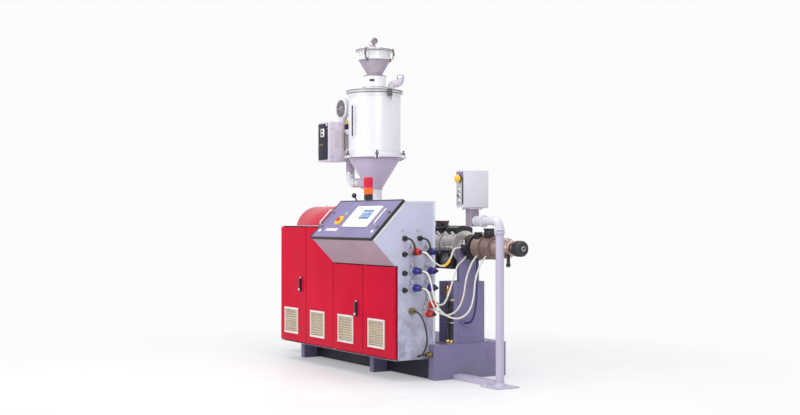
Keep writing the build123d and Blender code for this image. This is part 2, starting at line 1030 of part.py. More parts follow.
def loader_lid():
    low = loader_low + loader_neck_high + loader_cone_high + loader_bowl_high
    rim = low + loader_rim_high
    crown = rim + loader_lid_crown
    lid = turn_z(
        (
            (0, low), (loader_rim / 2, low), (loader_rim / 2, rim), (loader_bowl_size / 2, rim),
            (loader_lid_crown_size / 2, crown), (0, crown),
        ),
        hopper_x, axis_y,
    )
    x = hopper_x - loader_inlet_shift
    mouth = x + loader_inlet_reach
    level = crown + loader_inlet_high - loader_inlet / 2
    path = FilletPolyline(
        (x, axis_y, rim), (x, axis_y, level), (mouth, axis_y, level), radius=loader_inlet_bend
    )
    collar = crown + loader_inlet_collar_rise
    lid += along(path, loader_inlet)
    lid += rod_z(collar, collar + loader_inlet_collar_high, x, axis_y, loader_inlet_collar)
    bore = loader_inlet - 2 * loader_wall
    return lid - rod_x(mouth - loader_inlet_mouth_deep, mouth + overrun, axis_y, level, bore)


# Barrel

def band_spans():
    starts = [band_first + band_pitch * number for number in range(band_count)]
    return [(start, start + band_long) for start in starts]


def axis_rod(x0, x1, size):
    return rod_x(x0, x1, axis_y, axis_z, size)


def barrel():
    return axis_rod(hopper_x + throat_half_x, barrel_right, barrel_size)


def heater_bands():
    return group(axis_rod(x0, x1, band_size) - barrel() for x0, x1 in band_spans())


def zone_cap(x0, x1):
    start = x0 + cap_end_gap
    end = x1 - cap_end_gap
    ring = axis_rod(start, end, band_size + 2 * cap_high) - axis_rod(start, end, band_size)
    return ring & block(start, end, axis_y - cap_half, axis_y + cap_half, axis_z, axis_z + band_size)


def zone_blower(x0, x1):
    top = axis_z - blower_drop
    start = x0 + blower_end_gap
    end = x1 - blower_end_gap
    front = axis_y - blower_half
    body = block(start, end, front, axis_y + blower_half, top - blower_high, top)
    body = fillet(body.edges().filter_by(Axis.X).group_by(Axis.Z)[0], blower_corner)
    body -= rod_y(
        front - overrun, front + blower_inlet_deep, (start + end) / 2, top - blower_high / 2, blower_inlet
    )
    return body - axis_rod(x0, x1, band_size)


def zone_fans():
    return group(make(x0, x1) for x0, x1 in band_spans() for make in (zone_cap, zone_blower))


def barrel_pedestal():
    top = axis_z - pedestal_drop
    column = block(
        pedestal_left, pedestal_right, axis_y - pedestal_half, axis_y + pedestal_half, base_top, top
    )
    saddle = block(
        pedestal_right - saddle_long, pedestal_right, axis_y - saddle_half, axis_y + saddle_half,
        top, axis_z,
    )
    tail = hose_ends()[3]
    fitting = rod_x(pedestal_right, tail[0], tail[1], tail[2], hose_tail_size)
    return column + saddle + fitting - barrel()


# Die

def die_clamp():
    groove = barrel_right + (clamp_ring_long - clamp_groove) / 2
    radius = clamp_ring_size / 2
    return turn_x(
        (
            (barrel_right, 0), (barrel_right, radius), (groove, radius),
            (groove, radius - clamp_groove_deep), (groove + clamp_groove, radius - clamp_groove_deep),
            (groove + clamp_groove, radius), (die_left, radius), (die_left, 0),
        ),
        axis_y, axis_z,
    )


def die_head():
    body_right = die_left + die_body_long
    flange_right = body_right + die_flange_long
    cone_right = flange_right + die_cone_long
    return turn_x(
        (
            (die_left, 0), (die_left, die_body_size / 2), (body_right, die_body_size / 2),
            (body_right, die_flange_size / 2), (flange_right, die_flange_size / 2),
            (flange_right, die_cone_size / 2), (cone_right, die_cone_tip / 2),
            (cone_right, die_neck_size / 2), (die_neck_right, die_neck_size / 2), (die_neck_right, 0),
        ),
        axis_y, axis_z,
    )


def die_heater_spans():
    first = die_left + die_heater_gap
    starts = [first + (die_heater_long + die_heater_gap) * number for number in range(die_heater_count)]
    return [(start, start + die_heater_long) for start in starts]


def die_heaters():
    return group(
        axis_rod(x0, x1, die_heater_size) - axis_rod(x0, x1, die_body_size)
        for x0, x1 in die_heater_spans()
    )


def die_nut():
    radius = die_nut_size / 2
    return turn_x(
        (
            (die_neck_right, 0), (die_neck_right, radius - die_nut_chamfer),
            (die_neck_right + die_nut_chamfer, radius), (die_right - die_nut_chamfer, radius),
            (die_right, radius - die_nut_chamfer), (die_right, die_pin_size / 2),
            (die_right - die_nut_chamfer, 0),
        ),
        axis_y, axis_z,
    )


# Control box on its swivel arm

def control_post():
    half = post_plate / 2
    head_top = post_top + post_head_high
    body = block(post_x - half, post_x + half, post_y - half, post_y + half, 0, post_plate_thick)
    body += rod_z(0, post_top, post_x, post_y, post_size)
    body += rod_z(post_top, head_top, post_x, post_y, post_head)
    body += rod_z(post_top, head_top + spigot_high, post_x, post_y, spigot_size)
    return body + block(
        base_right, post_x, post_y - post_channel_half, post_y + post_channel_half, 0, post_channel_high
    )


def control_arm():
    foot = post_top + post_head_high + spigot_clear
    path = FilletPolyline(
        (post_x, post_y, foot), (post_x, post_y, arm_z), (neck_x, post_y, arm_z), radius=arm_bend
    )
    body = along(path, post_size)
    body -= rod_z(foot - overrun, foot + spigot_high, post_x, post_y, spigot_size + 2 * spigot_clear)
    swell = neck_x + arm_swell_gap
    body += rod_x(swell, swell + arm_swell_long, post_y, arm_z, arm_swell)
    neck = block(
        neck_x - neck_half, neck_x + neck_half, post_y - neck_half, post_y + neck_half,
        arm_z - neck_drop, box_low,
    )
    return body + fillet(neck.edges().filter_by(Axis.Z), neck_corner)


def control_box():
    body = block(
        neck_x - box_half_x, neck_x + box_half_x, post_y - box_half_y, post_y + box_half_y,
        box_low, box_low + box_high,
    )
    return fillet(body.edges().filter_by(Axis.Y), box_corner)


def control_knob():
    front = post_y - box_half_y
    stem = front - box_knob_stem_long
    z = box_low + box_high - box_knob_drop
    body = rod_y(stem, front, neck_x, z, box_knob_stem)
    return body + rod_y(stem - box_knob_long, stem, neck_x, z, box_knob_size)


# Free cables

def run_cable(start, points, landing, end):
    leaving = (start[0] + cable_exit, *start[1:])
    return cable((start, leaving, *points, landing, end), cable_size)


def heater_cable(number, points, x, size, seat_share):
    drop = seat_share * size / 2
    away = math.sqrt(size * size / 4 - drop * drop)
    reach = 1 + 2 * cable_landing / size
    landing = (x, axis_y - reach * away, axis_z - reach * drop)
    return run_cable((plug_end, *socket_spots[number]), points, landing, (x, axis_y - away, axis_z - drop))


def upper_heater_cable():
    x = barrel_right + (clamp_ring_long - clamp_groove) / 4
    return heater_cable(0, upper_cable_points, x, clamp_ring_size, 0)


def middle_heater_cable():
    x0, x1 = die_heater_spans()[1]
    return heater_cable(2, middle_cable_points, (x0 + x1) / 2, die_heater_size, heater_seat_share)


def lower_heater_cable():
    x0, x1 = die_heater_spans()[0]
    return heater_cable(4, lower_cable_points, (x0 + x1) / 2, die_heater_size, heater_seat_share)


def low_heater_cable():
    x = barrel_right + (clamp_ring_long - clamp_groove) / 4
    return heater_cable(6, low_cable_points, x, clamp_ring_size, heater_seat_share)


def hose_ends():
    x = die_left - (clamp_ring_long - clamp_groove) / 4
    start = (x, axis_y, axis_z - clamp_ring_size / 2)
    leaving = (x, axis_y, start[2] - hose_exit)
    end = (pedestal_right + hose_tail, axis_y - pedestal_half / 2, hose_seat_height)
    landing = (end[0] + hose_exit, *end[1:])
    return start, leaving, landing, end


def water_hose():
    start, leaving, landing, end = hose_ends()
    return cable((start, leaving, *water_hose_points, landing, end), water_hose_size)


def supply_cable():
    start = (supply_gland_long, supply_column_share * cabinet_depth, supply_height)
    x = base_right - base_gland_inset
    end = base_front - supply_gland_long
    landing = (x, end - supply_landing, base_gland_height)
    return run_cable(start, supply_cable_points, landing, (x, end, base_gland_height))


pieces = {
    "base_frame": base_frame,
    "base_feet": base_feet,
    "kick_plates": kick_plates,
    "cabinet_floor": cabinet_floor,
    "cabinet_roof": cabinet_roof,
    "cabinet_panels": cabinet_panels,
    "cabinet_end_panel": cabinet_end_panel,
    "console_underside": console_underside,
    "console_panel": console_panel,
    "touch_screen": touch_screen,
    "panel_controls": panel_controls,
    "panel_handles": panel_handles,
    "warning_beacon": warning_beacon,
    "power_sockets": power_sockets,
    "power_plugs": power_plugs,
    "panel_leads": panel_leads,
    "supply_glands": supply_glands,
    "drive_housing": drive_housing,
    "drive_hood": drive_hood,
    "feed_throat": feed_throat,
    "gate_body": gate_body,
    "slide_gate": slide_gate,
    "dryer_cone": dryer_cone,
    "dryer_drum": dryer_drum,
    "dryer_lid": dryer_lid,
    "dryer_clamps": dryer_clamps,
    "sight_glass": sight_glass,
    "dryer_control_box": dryer_control_box,
    "dryer_fan": dryer_fan,
    "hot_air_elbow": hot_air_elbow,
    "loader_bowl": loader_bowl,
    "loader_lid": loader_lid,
    "barrel": barrel,
    "heater_bands": heater_bands,
    "zone_fans": zone_fans,
    "barrel_pedestal": barrel_pedestal,
    "die_clamp": die_clamp,
    "die_head": die_head,
    "die_heaters": die_heaters,
    "die_nut": die_nut,
    "control_post": control_post,
    "control_arm": control_arm,
    "control_box": control_box,
    "control_knob": control_knob,
    "left_door_handle": lambda: door_handle(0),
    "right_door_handle": lambda: door_handle(2),
}
for number, name in enumerate(("first", "second", "third", "fourth")):
    pieces[name + "_door"] = lambda index=number: door(index)
    pieces[name + "_grille"] = lambda index=number: grille(index)
cables = {
    "upper_heater_cable": upper_heater_cable,
    "middle_heater_cable": middle_heater_cable,
    "lower_heater_cable": lower_heater_cable,
    "low_heater_cable": low_heater_cable,
    "water_hose": water_hose,
    "supply_cable": supply_cable,
}

# The origin goes to the middle of the machine's footprint, on the floor
solids = {name: make() for name, make in pieces.items()}
boxes = [solid.bounding_box() for solid in solids.values()]
middle_x = (min(box.min.X for box in boxes) + max(box.max.X for box in boxes)) / 2
middle_y = (min(box.min.Y for box in boxes) + max(box.max.Y for box in boxes)) / 2
solids.update({name: make() for name, make in cables.items()})
os.makedirs("parts", exist_ok=True)
for name, solid in solids.items():
    export_step(Pos(-middle_x, -middle_y, 0) * solid, "parts/" + name + ".step")
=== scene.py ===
import bpy
import bmesh
import math
from itertools import product
from mathutils import Matrix, Vector


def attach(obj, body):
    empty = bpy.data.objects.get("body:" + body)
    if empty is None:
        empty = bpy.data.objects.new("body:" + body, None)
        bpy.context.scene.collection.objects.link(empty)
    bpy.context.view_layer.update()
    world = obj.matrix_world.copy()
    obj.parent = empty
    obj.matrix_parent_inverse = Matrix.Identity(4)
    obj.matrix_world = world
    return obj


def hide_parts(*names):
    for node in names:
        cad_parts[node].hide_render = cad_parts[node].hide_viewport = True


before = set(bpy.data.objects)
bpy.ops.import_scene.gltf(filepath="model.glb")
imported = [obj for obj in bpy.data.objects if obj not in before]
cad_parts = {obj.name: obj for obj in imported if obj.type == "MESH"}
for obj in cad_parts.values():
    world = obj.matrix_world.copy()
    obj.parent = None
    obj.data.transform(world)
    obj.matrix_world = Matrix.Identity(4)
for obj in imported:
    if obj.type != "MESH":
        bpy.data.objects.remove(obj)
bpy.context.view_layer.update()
scene = bpy.context.scene
toEnd, toDrive, toBack, toFront = (1, 0, 0), (-1, 0, 0), (0, 1, 0), (0, -1, 0)
upward, downward = (0, 0, 1), (0, 0, -1)
print("stage: frame loaded")


def at(x, y, z):  # millimetres from the end panel, the door fronts and the floor
    return Vector((x / 1000 + .836, y / 1000 - .38395, z / 1000))


# Camera and lamps

def stand(obj, place, direction):  # sets a camera or lamp in its place and points it
    obj.location = place
    obj.rotation_euler = Vector(direction).to_track_quat("-Z", "Y").to_euler()
    scene.collection.objects.link(obj)


view = dict(place=at(7588, -4608, 1194), aim=(-.91058, .55819, .0105), lens=54.5)
cameraData = bpy.data.cameras.new("camera")
cameraData.lens = view["lens"]
camera = bpy.data.objects.new("camera", cameraData)
stand(camera, view["place"], view["aim"])
scene.camera = camera

lamps = dict(
    ceiling=dict(place=(.4, -.6, 8), target=(.2, 0, 0), size=(9, 7), power=500, tint=(1, .99, .97)),
    front=dict(place=(-.6, -6.5, 3.4), target=(-.2, 0, .9), size=(5, 2.4), power=205, tint=(1, .98, .97)),
    side=dict(place=(6.4, -1.4, 3.6), target=(.6, 0, .9), size=(3, 2.4), power=145, tint=(.97, .98, 1)))
for name, v in lamps.items():
    lamp = bpy.data.lights.new(name, "AREA")
    lamp.shape = "RECTANGLE"
    lamp.size, lamp.size_y = v["size"]
    lamp.energy = v["power"]
    lamp.color = v["tint"]
    stand(bpy.data.objects.new(name, lamp), v["place"], Vector(v["target"]) - Vector(v["place"]))


# Node helpers

def wire(tree, node, values):  # links or sets a node's sockets
    for name, value in values.items():
        socket = node.inputs[name]
        if hasattr(value, "is_output"):
            tree.links.new(value, socket)
        elif socket.type == "RGBA" and len(value) == 3:
            socket.default_value = (*value, 1)
        else:
            socket.default_value = value


def addNode(tree, kind, values={}, **settings):
    node = tree.nodes.new("ShaderNode" + kind)
    for name, value in settings.items():
        setattr(node, name, value)
    wire(tree, node, values)
    return node


def noise(tree, place, scale, detail=3, stretch=None):
    if stretch:
        place = addNode(tree, "Mapping", {"Scale": stretch, "Vector": place}).outputs["Vector"]
    return addNode(tree, "TexNoise", {"Scale": scale, "Detail": detail, "Vector": place}).outputs["Fac"]


def remap(tree, value, low, high, out=(0, 1)):
    ends = {"Value": value, "From Min": low, "From Max": high, "To Min": out[0], "To Max": out[1]}
    return addNode(tree, "MapRange", ends).outputs["Result"]


def times(tree, a, b, kind="MULTIPLY"):  # or another sum of two values
    return addNode(tree, "Math", {0: a, 1: b}, operation=kind).outputs["Value"]


def mix(tree, factor, a, b):
    return addNode(tree, "Mix", {0: factor, 6: a, 7: b}, data_type="RGBA").outputs[2]


def softEdge(tree, radius):  # rounded normals at edges, and a mask of where the edges are
    soft = addNode(tree, "Bevel", {"Radius": radius}, samples=4).outputs["Normal"]
    plain = addNode(tree, "NewGeometry").outputs["Normal"]
    dot = addNode(tree, "VectorMath", {0: soft, 1: plain}, operation="DOT_PRODUCT")
    return soft, remap(tree, dot.outputs["Value"], .985, .8)


def bumpOn(tree, shader, height, strength, distance, normal=None):
    bump = addNode(tree, "Bump", {"Strength": strength, "Distance": distance, "Height": height})
    if normal:
        wire(tree, bump, {"Normal": normal})
    wire(tree, shader, {"Normal": bump.outputs["Normal"]})


def seenRay(tree):  # 1 for what the camera, metal and glass see, 0 for light on the object
    rays = addNode(tree, "LightPath").outputs
    seen = times(tree, rays["Is Camera Ray"], rays["Is Glossy Ray"], "MAXIMUM")
    return times(tree, seen, rays["Is Transmission Ray"], "MAXIMUM")


def hallWorld(v):
    world = bpy.data.worlds.new("hall")
    scene.world = world
    world.use_nodes = True
    tree = world.node_tree
    ambient = tree.nodes["Background"]
    wire(tree, ambient, {"Color": v["ambient"], "Strength": v["level"]})
    backdrop = addNode(tree, "Background", {"Color": v["backdrop"]})
    both = addNode(tree, "MixShader", {"Fac": seenRay(tree), 1: ambient.outputs[0], 2: backdrop.outputs[0]})
    wire(tree, tree.nodes["World Output"], {"Surface": both.outputs[0]})


hallWorld(dict(ambient=(.86, .88, .92, 1), level=.55, backdrop=(.97, .97, .98, 1)))
scene.view_settings.view_transform = "Standard"
print("stage: camera and lights")


# Finishes

looks = {}


def newMaterial(name):
    mat = bpy.data.materials.new(name)
    mat.use_nodes = True
    looks[name] = mat
    tree = mat.node_tree
    place = addNode(tree, "TexCoord").outputs["Object"]
    axes = addNode(tree, "SeparateXYZ", {"Vector": place}).outputs
    return tree, tree.nodes["Principled BSDF"], place, axes


def paint(name, v):
    tree, shader, place, axes = newMaterial(name)
    broad = noise(tree, place, 2.3, 5)
    grain = noise(tree, place, v.get("grain", 420), 2)
    scuff = noise(tree, place, 16, 6)
    normal, edge = softEdge(tree, v.get("edgeSize", .0025))
    tone = mix(tree, remap(tree, broad, .34, .66), v["colour"], v["shade"])
    if "speck" in v:
        fleck = remap(tree, noise(tree, place, v["speckScale"], 1), .56, .7, (0, v.get("speckShare", .6)))
        tone = mix(tree, fleck, tone, v["speck"])
    worn = times(tree, edge, remap(tree, scuff, .42, .66, (.1, v.get("wear", .6))))
    tone = mix(tree, worn, tone, v["edge"])
    # blends dust in patches towards the bottom, below dustTop metres
    if "dust" in v:
        low = remap(tree, axes["Z"], v["dustTop"], 0, (0, v.get("dustShare", .75)))
        tone = mix(tree, times(tree, low, remap(tree, scuff, .3, .7)), tone, v["dust"])
    smear = remap(tree, noise(tree, place, 5, 4, (1, 1, .25)), .3, .7, v["rough"])
    wire(tree, shader, {
        "Base Color": tone, "Roughness": smear, "Specular IOR Level": v.get("gloss", .5),
        "Coat Weight": v.get("coat", 0), "Coat Roughness": .12})
    bumpOn(tree, shader, grain, v.get("bump", .12), .0006, normal)


paints = dict(
    redPaint=dict(
        colour=(.60, .003, .032), shade=(.52, .0025, .027), edge=(.66, .06, .09), rough=(.34, .48), gloss=.06,
        bump=.06, dust=(.40, .03, .05), dustTop=.42),
    hoodPaint=dict(
        colour=(.58, .003, .034), shade=(.51, .003, .030), edge=(.56, .003, .033), edgeSize=.0008,
        rough=(.22, .32), gloss=.16, coat=.12, bump=.03),
    # the end panel turns darker towards the bottom, up to 1.05 m
    panelPaint=dict(
        colour=(.53, .54, .68), shade=(.48, .49, .63), speck=(.68, .69, .80), speckScale=520,
        edge=(.76, .76, .84), rough=(.36, .5), gloss=.35, bump=.35, grain=300, dust=(.22, .205, .255),
        dustTop=1.05, dustShare=1.1),
    consolePaint=dict(
        colour=(.20, .17, .33), shade=(.17, .145, .29), speck=(.30, .27, .42), speckScale=600, speckShare=.35,
        edge=(.42, .39, .52), rough=(.36, .5), gloss=.35, bump=.3, grain=380),
    undersidePaint=dict(
        colour=(.38, .28, .35), shade=(.33, .245, .31), edge=(.6, .54, .6), rough=(.38, .5), gloss=.35,
        bump=.16),
    mauvePaint=dict(
        colour=(.59, .50, .64), shade=(.52, .44, .57), edge=(.72, .66, .75), rough=(.34, .48), gloss=.4,
        bump=.16),
    boxPaint=dict(
        colour=(.68, .61, .71), shade=(.62, .56, .65), edge=(.78, .74, .80), rough=(.34, .48), gloss=.4,
        bump=.18),
    basePaint=dict(
        colour=(.225, .195, .35), shade=(.19, .165, .30), speck=(.31, .275, .45), speckScale=300,
        edge=(.46, .44, .54), rough=(.42, .58), gloss=.35, bump=.3, grain=260, dust=(.19, .17, .22),
        dustTop=.3, wear=.9),
    drivePaint=dict(
        colour=(.42, .42, .50), shade=(.37, .37, .45), speck=(.5, .5, .58), speckScale=300,
        edge=(.6, .6, .66), rough=(.4, .54), gloss=.35, bump=.3, grain=260, dust=(.30, .28, .30), dustTop=.5),
    # navy of the heater box's door face; on the kick plates this dark colour is painted shade under the
    # cabinet
    navyPaint=dict(
        colour=(.024, .023, .046), shade=(.017, .016, .035), edge=(.15, .14, .19), rough=(.4, .55), bump=.2,
        gloss=.2, dust=(.034, .033, .046), dustTop=.16),
    whitePaint=dict(
        colour=(.80, .79, .83), shade=(.75, .74, .79), edge=(.86, .86, .88), rough=(.2, .3), gloss=.4,
        coat=.3, bump=.04),
    greyPaint=dict(
        colour=(.65, .64, .70), shade=(.60, .59, .65), edge=(.78, .78, .82), rough=(.32, .46), gloss=.4,
        bump=.18),
    postPaint=dict(
        colour=(.50, .46, .58), shade=(.45, .41, .53), edge=(.70, .67, .76), rough=(.32, .46), gloss=.4,
        bump=.18),
    blackPaint=dict(
        colour=(.014, .014, .017), shade=(.022, .022, .026), edge=(.16, .15, .15), rough=(.3, .48), bump=.2,
        wear=.8),
    edgePaint=dict(
        colour=(.66, .66, .72), shade=(.60, .60, .68), edge=(.78, .78, .82), rough=(.34, .46), bump=.2))


def plastic(name, v):
    tree, shader, place, axes = newMaterial(name)
    broad = noise(tree, place, v.get("patch", 14), 4)
    normal, edge = softEdge(tree, .0015)
    tone = mix(tree, remap(tree, broad, .35, .68), v["colour"], v["shade"])
    tone = mix(tree, times(tree, edge, .35), tone, v["edge"])
    wire(tree, shader, {"Base Color": tone, "Roughness": remap(tree, broad, .3, .7, v["rough"])})
    if "glow" in v:
        wire(tree, shader, {"Emission Color": tone, "Emission Strength": v["glow"]})
    bumpOn(tree, shader, noise(tree, place, 900, 2), v.get("bump", .15), .0004, normal)


plastics = dict(
    blackPlastic=dict(
        colour=(.012, .012, .014), shade=(.020, .020, .023), edge=(.07, .07, .075), rough=(.34, .5)),
    blueHose=dict(colour=(.016, .030, .16), shade=(.012, .022, .12), edge=(.06, .08, .26), rough=(.34, .48)),
    rubber=dict(
        colour=(.014, .014, .015), shade=(.024, .024, .026), edge=(.05, .05, .05), rough=(.55, .7), bump=.3),
    bluePlastic=dict(
        colour=(.016, .018, .25), shade=(.012, .014, .19), edge=(.10, .11, .42), rough=(.28, .42)),
    redPlastic=dict(colour=(.62, .014, .016), shade=(.5, .011, .013), edge=(.75, .14, .12), rough=(.28, .42)),
    greyPlastic=dict(colour=(.42, .42, .46), shade=(.36, .36, .40), edge=(.6, .6, .64), rough=(.34, .48)),
    whitePlastic=dict(colour=(.76, .75, .74), shade=(.69, .68, .68), edge=(.82, .82, .82), rough=(.3, .44)),
    yellowPlastic=dict(
        colour=(.86, .50, .012), shade=(.78, .43, .010), edge=(.93, .66, .12), rough=(.26, .4)),
    greenPlastic=dict(
        colour=(.02, .30, .07), shade=(.015, .24, .05), edge=(.16, .5, .2), rough=(.22, .34), glow=.15),
    beigePlastic=dict(colour=(.66, .58, .46), shade=(.58, .50, .39), edge=(.80, .75, .66), rough=(.45, .6)),
    creamCable=dict(
        colour=(.72, .69, .62), shade=(.60, .57, .50), edge=(.8, .78, .72), rough=(.42, .56), patch=30),
    amberLens=dict(
        colour=(.90, .15, .018), shade=(.76, .11, .012), edge=(1, .36, .1), rough=(.12, .22), glow=.1,
        patch=40),
    redLens=dict(
        colour=(.64, .006, .045), shade=(.52, .005, .036), edge=(.8, .12, .14), rough=(.12, .22), glow=.1,
        patch=40),
    glassDark=dict(
        colour=(.018, .022, .032), shade=(.028, .034, .046), edge=(.10, .11, .13), rough=(.06, .12),
        bump=.01),
    sealBrown=dict(colour=(.115, .075, .065), shade=(.08, .055, .05), edge=(.22, .16, .14), rough=(.4, .56)),
    hosePipe=dict(colour=(.018, .035, .024), shade=(.03, .055, .036), edge=(.08, .11, .09), rough=(.36, .5)))


def metal(name, v):
    tree, shader, place, axes = newMaterial(name)
    lines = noise(tree, place, v.get("lines", 60), 3, v.get("brush", (1, 1, 30)))
    stain = noise(tree, place, 7, 5)
    normal, edge = softEdge(tree, .002)
    tone = mix(tree, remap(tree, lines, .3, .7), v["colour"], v["shade"])
    tone = mix(tree, remap(tree, stain, .5, .72, (0, v["stainShare"])), tone, v["stain"])
    tone = mix(tree, times(tree, edge, .5), tone, v["colour"])
    rough = remap(tree, times(tree, lines, stain), .1, .45, v["rough"])
    wire(tree, shader, {"Base Color": tone, "Metallic": v.get("metallic", 1), "Roughness": rough})
    bumpOn(tree, shader, lines, v.get("bump", .1), .0004, normal)


metals = dict(
    steel=dict(
        colour=(.66, .66, .68), shade=(.56, .56, .58), stain=(.42, .40, .38), stainShare=.35,
        rough=(.2, .38)),
    chrome=dict(
        colour=(.82, .82, .84), shade=(.74, .74, .76), stain=(.6, .6, .62), stainShare=.25,
        rough=(.08, .18), bump=.03),
    bandSteel=dict(
        colour=(.72, .68, .69), shade=(.60, .56, .57), stain=(.50, .38, .34), stainShare=.5, rough=(.26, .46),
        metallic=.55, brush=(30, 1, 1), lines=30),
    dieSteel=dict(
        colour=(.60, .47, .43), shade=(.48, .36, .32), stain=(.26, .17, .14), stainShare=.6, rough=(.3, .5),
        metallic=.8, brush=(24, 1, 1), lines=40),
    heaterSteel=dict(
        colour=(.36, .255, .235), shade=(.27, .185, .17), stain=(.44, .30, .24), stainShare=.6,
        rough=(.36, .56), metallic=.75, brush=(24, 1, 1), lines=40),
    clampSteel=dict(
        colour=(.36, .33, .36), shade=(.28, .26, .28), stain=(.16, .13, .13), stainShare=.5, rough=(.3, .46),
        metallic=.45),
    darkSteel=dict(
        colour=(.15, .14, .15), shade=(.11, .10, .108), stain=(.06, .05, .05), stainShare=.5, rough=(.3, .46),
        metallic=.45),
    handleSteel=dict(
        colour=(.58, .57, .60), shade=(.48, .47, .50), stain=(.36, .34, .35), stainShare=.3, rough=(.22, .36),
        metallic=.6),
    oldBrass=dict(
        colour=(.34, .29, .13), shade=(.25, .21, .095), stain=(.14, .12, .07), stainShare=.5,
        rough=(.3, .46)),
    brass=dict(
        colour=(.70, .48, .17), shade=(.58, .38, .12), stain=(.36, .23, .09), stainShare=.5, rough=(.2, .36)),
    castIron=dict(
        colour=(.30, .30, .33), shade=(.23, .23, .26), stain=(.16, .14, .13), stainShare=.5, rough=(.42, .6),
        metallic=.6, brush=(1, 1, 1), lines=180, bump=.4))


def splitFinish(name, v):  # one moulding in two colours, split at a level along one axis
    tree, shader, place, axes = newMaterial(name)
    normal, edge = softEdge(tree, .002)
    level = at(v["level"], v["level"], v["level"])["XYZ".index(v["axis"])]
    tone = mix(tree, remap(tree, axes[v["axis"]], level, level + .0004), v["below"], v["above"])
    if "over" in v:
        tone = v["over"](tree, shader, place, axes, tone)
    else:
        cloud = remap(tree, noise(tree, place, 9, 5), .3, .7, (.88, 1.06))
        tone = addNode(tree, "HueSaturation", {"Color": tone, "Value": cloud}).outputs["Color"]
        tone = mix(tree, times(tree, edge, .3), tone, (.6, .58, .6))
    rough = remap(tree, noise(tree, place, 20, 4), .3, .7, v["rough"])
    wire(tree, shader, {"Base Color": tone, "Roughness": rough})
    bumpOn(tree, shader, noise(tree, place, 500, 2), .15, .0005, normal)


def beaconFoot(tree, shader, place, axes, tone):  # black foot under the glowing lenses
    lens = remap(tree, axes["Z"], 1.3925, 1.393)
    tone = mix(tree, lens, (.014, .014, .016), tone)
    wire(tree, shader, {"Emission Color": tone, "Emission Strength": times(tree, lens, .1)})
    return tone


def socketGlands(tree, shader, place, axes, tone):  # black glands over the sockets
    return mix(tree, remap(tree, axes["Z"], 1.02, 1.021), tone, (.016, .016, .018))


def loaderBowl(tree, shader, place, axes, tone):  # white bowl over the mauve cone, with a little dust
    tone = mix(tree, remap(tree, axes["Z"], 2.552, 2.553), tone, (.80, .79, .83))
    return mix(tree, remap(tree, noise(tree, place, 6, 5), .45, .75, (0, .35)), tone, (.62, .58, .62))


drumWhite = (.80, .79, .83)
splits = dict(
    cabinetPaint=dict(axis="Y", level=40.5, below=(.56, .010, .042), above=(.47, .47, .57), rough=(.34, .5)),
    beaconPlastic=dict(
        axis="Z", level=1446, below=(.90, .15, .018), above=(.64, .006, .045), rough=(.12, .22),
        over=beaconFoot),
    socketPlastic=dict(
        axis="Y", level=112, below=(.014, .014, .016), above=(.40, .40, .45), rough=(.32, .48),
        over=socketGlands),
    loaderPaint=dict(
        axis="Z", level=2423, below=drumWhite, above=(.34, .28, .35), rough=(.24, .36), over=loaderBowl),
    # white loader lid; the grey-mauve on the inlet pipe above it is painted shade under the inlet elbow
    inletPaint=dict(axis="Z", level=2659, below=drumWhite, above=(.42, .37, .44), rough=(.24, .36)),
    ductPaint=dict(axis="Z", level=1592, below=drumWhite, above=(.50, .43, .55), rough=(.24, .36)),
    # white lid; the mauve above its crown, on the vent pipe, is painted shade of the pipe's underside and
    # mouth
    lidPaint=dict(axis="Z", level=2311, below=drumWhite, above=(.58, .52, .60), rough=(.22, .34)),
    armPaint=dict(axis="X", level=312, below=(.28, .225, .295), above=(.58, .56, .64), rough=(.32, .46)),
    gatePaint=dict(axis="Y", level=473, below=(.020, .018, .032), above=(.50, .50, .53), rough=(.26, .4)))

for make, table in ((paint, paints), (plastic, plastics), (metal, metals), (splitFinish, splits)):
    for name, v in table.items():
        make(name, v)


def filterFinish(v):
    tree, shader, place, axes = newMaterial("filterMat")
    tone = mix(tree, remap(tree, noise(tree, place, 120, 4), .3, .7), v["shade"], v["colour"])
    tone = mix(tree, remap(tree, noise(tree, place, 9, 4), .5, .75, (0, .5)), tone, v["dust"])
    wire(tree, shader, {"Base Color": tone, "Roughness": .85})
    bumpOn(tree, shader, noise(tree, place, 700, 3), .8, .0015)


filterFinish(dict(colour=(.70, .61, .46), shade=(.54, .46, .33), dust=(.30, .26, .21)))

finishes = dict(
    redPaint="first_door second_door third_door fourth_door", hoodPaint="drive_hood",
    panelPaint="cabinet_end_panel cabinet_roof cabinet_floor", consolePaint="console_panel",
    undersidePaint="console_underside", mauvePaint="dryer_cone gate_body", boxPaint="dryer_control_box",
    loaderPaint="loader_bowl", armPaint="control_arm", drivePaint="drive_housing", oldBrass="supply_glands",
    # the dark kick plates stand in for the shade under the cabinet (painted shade)
    basePaint="base_frame base_feet barrel_pedestal", navyPaint="kick_plates",
    whitePaint="dryer_drum sight_glass", ductPaint="hot_air_elbow", inletPaint="loader_lid",
    lidPaint="dryer_lid", greyPaint="control_box dryer_fan", postPaint="control_post",
    blackPaint="zone_fans die_nut die_clamp", blackPlastic="left_door_handle right_door_handle",
    whitePlastic="touch_screen", beaconPlastic="warning_beacon", cabinetPaint="cabinet_panels",
    socketPlastic="power_sockets", rubber="panel_leads", bluePlastic="power_plugs",
    yellowPlastic="control_knob panel_controls",
    beigePlastic="first_grille second_grille third_grille fourth_grille", steel="barrel",
    gatePaint="slide_gate",
    darkSteel="dryer_clamps", handleSteel="panel_handles", bandSteel="heater_bands", dieSteel="die_head",
    heaterSteel="die_heaters", castIron="feed_throat")
for look, names in finishes.items():
    for name in names.split():
        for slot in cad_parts[name].material_slots:
            slot.material = looks[look]
print("stage: materials")


# Mesh helpers

def turnTo(direction):
    return Vector(direction).to_track_quat("Z", "Y").to_matrix().to_4x4()


def addTo(bm, small, mat):  # moves a finished small form into the piece's mesh
    for face in small.faces:
        face.material_index = mat
    mesh = bpy.data.meshes.new("form")
    small.to_mesh(mesh)
    small.free()
    bm.from_mesh(mesh)
    bpy.data.meshes.remove(mesh)


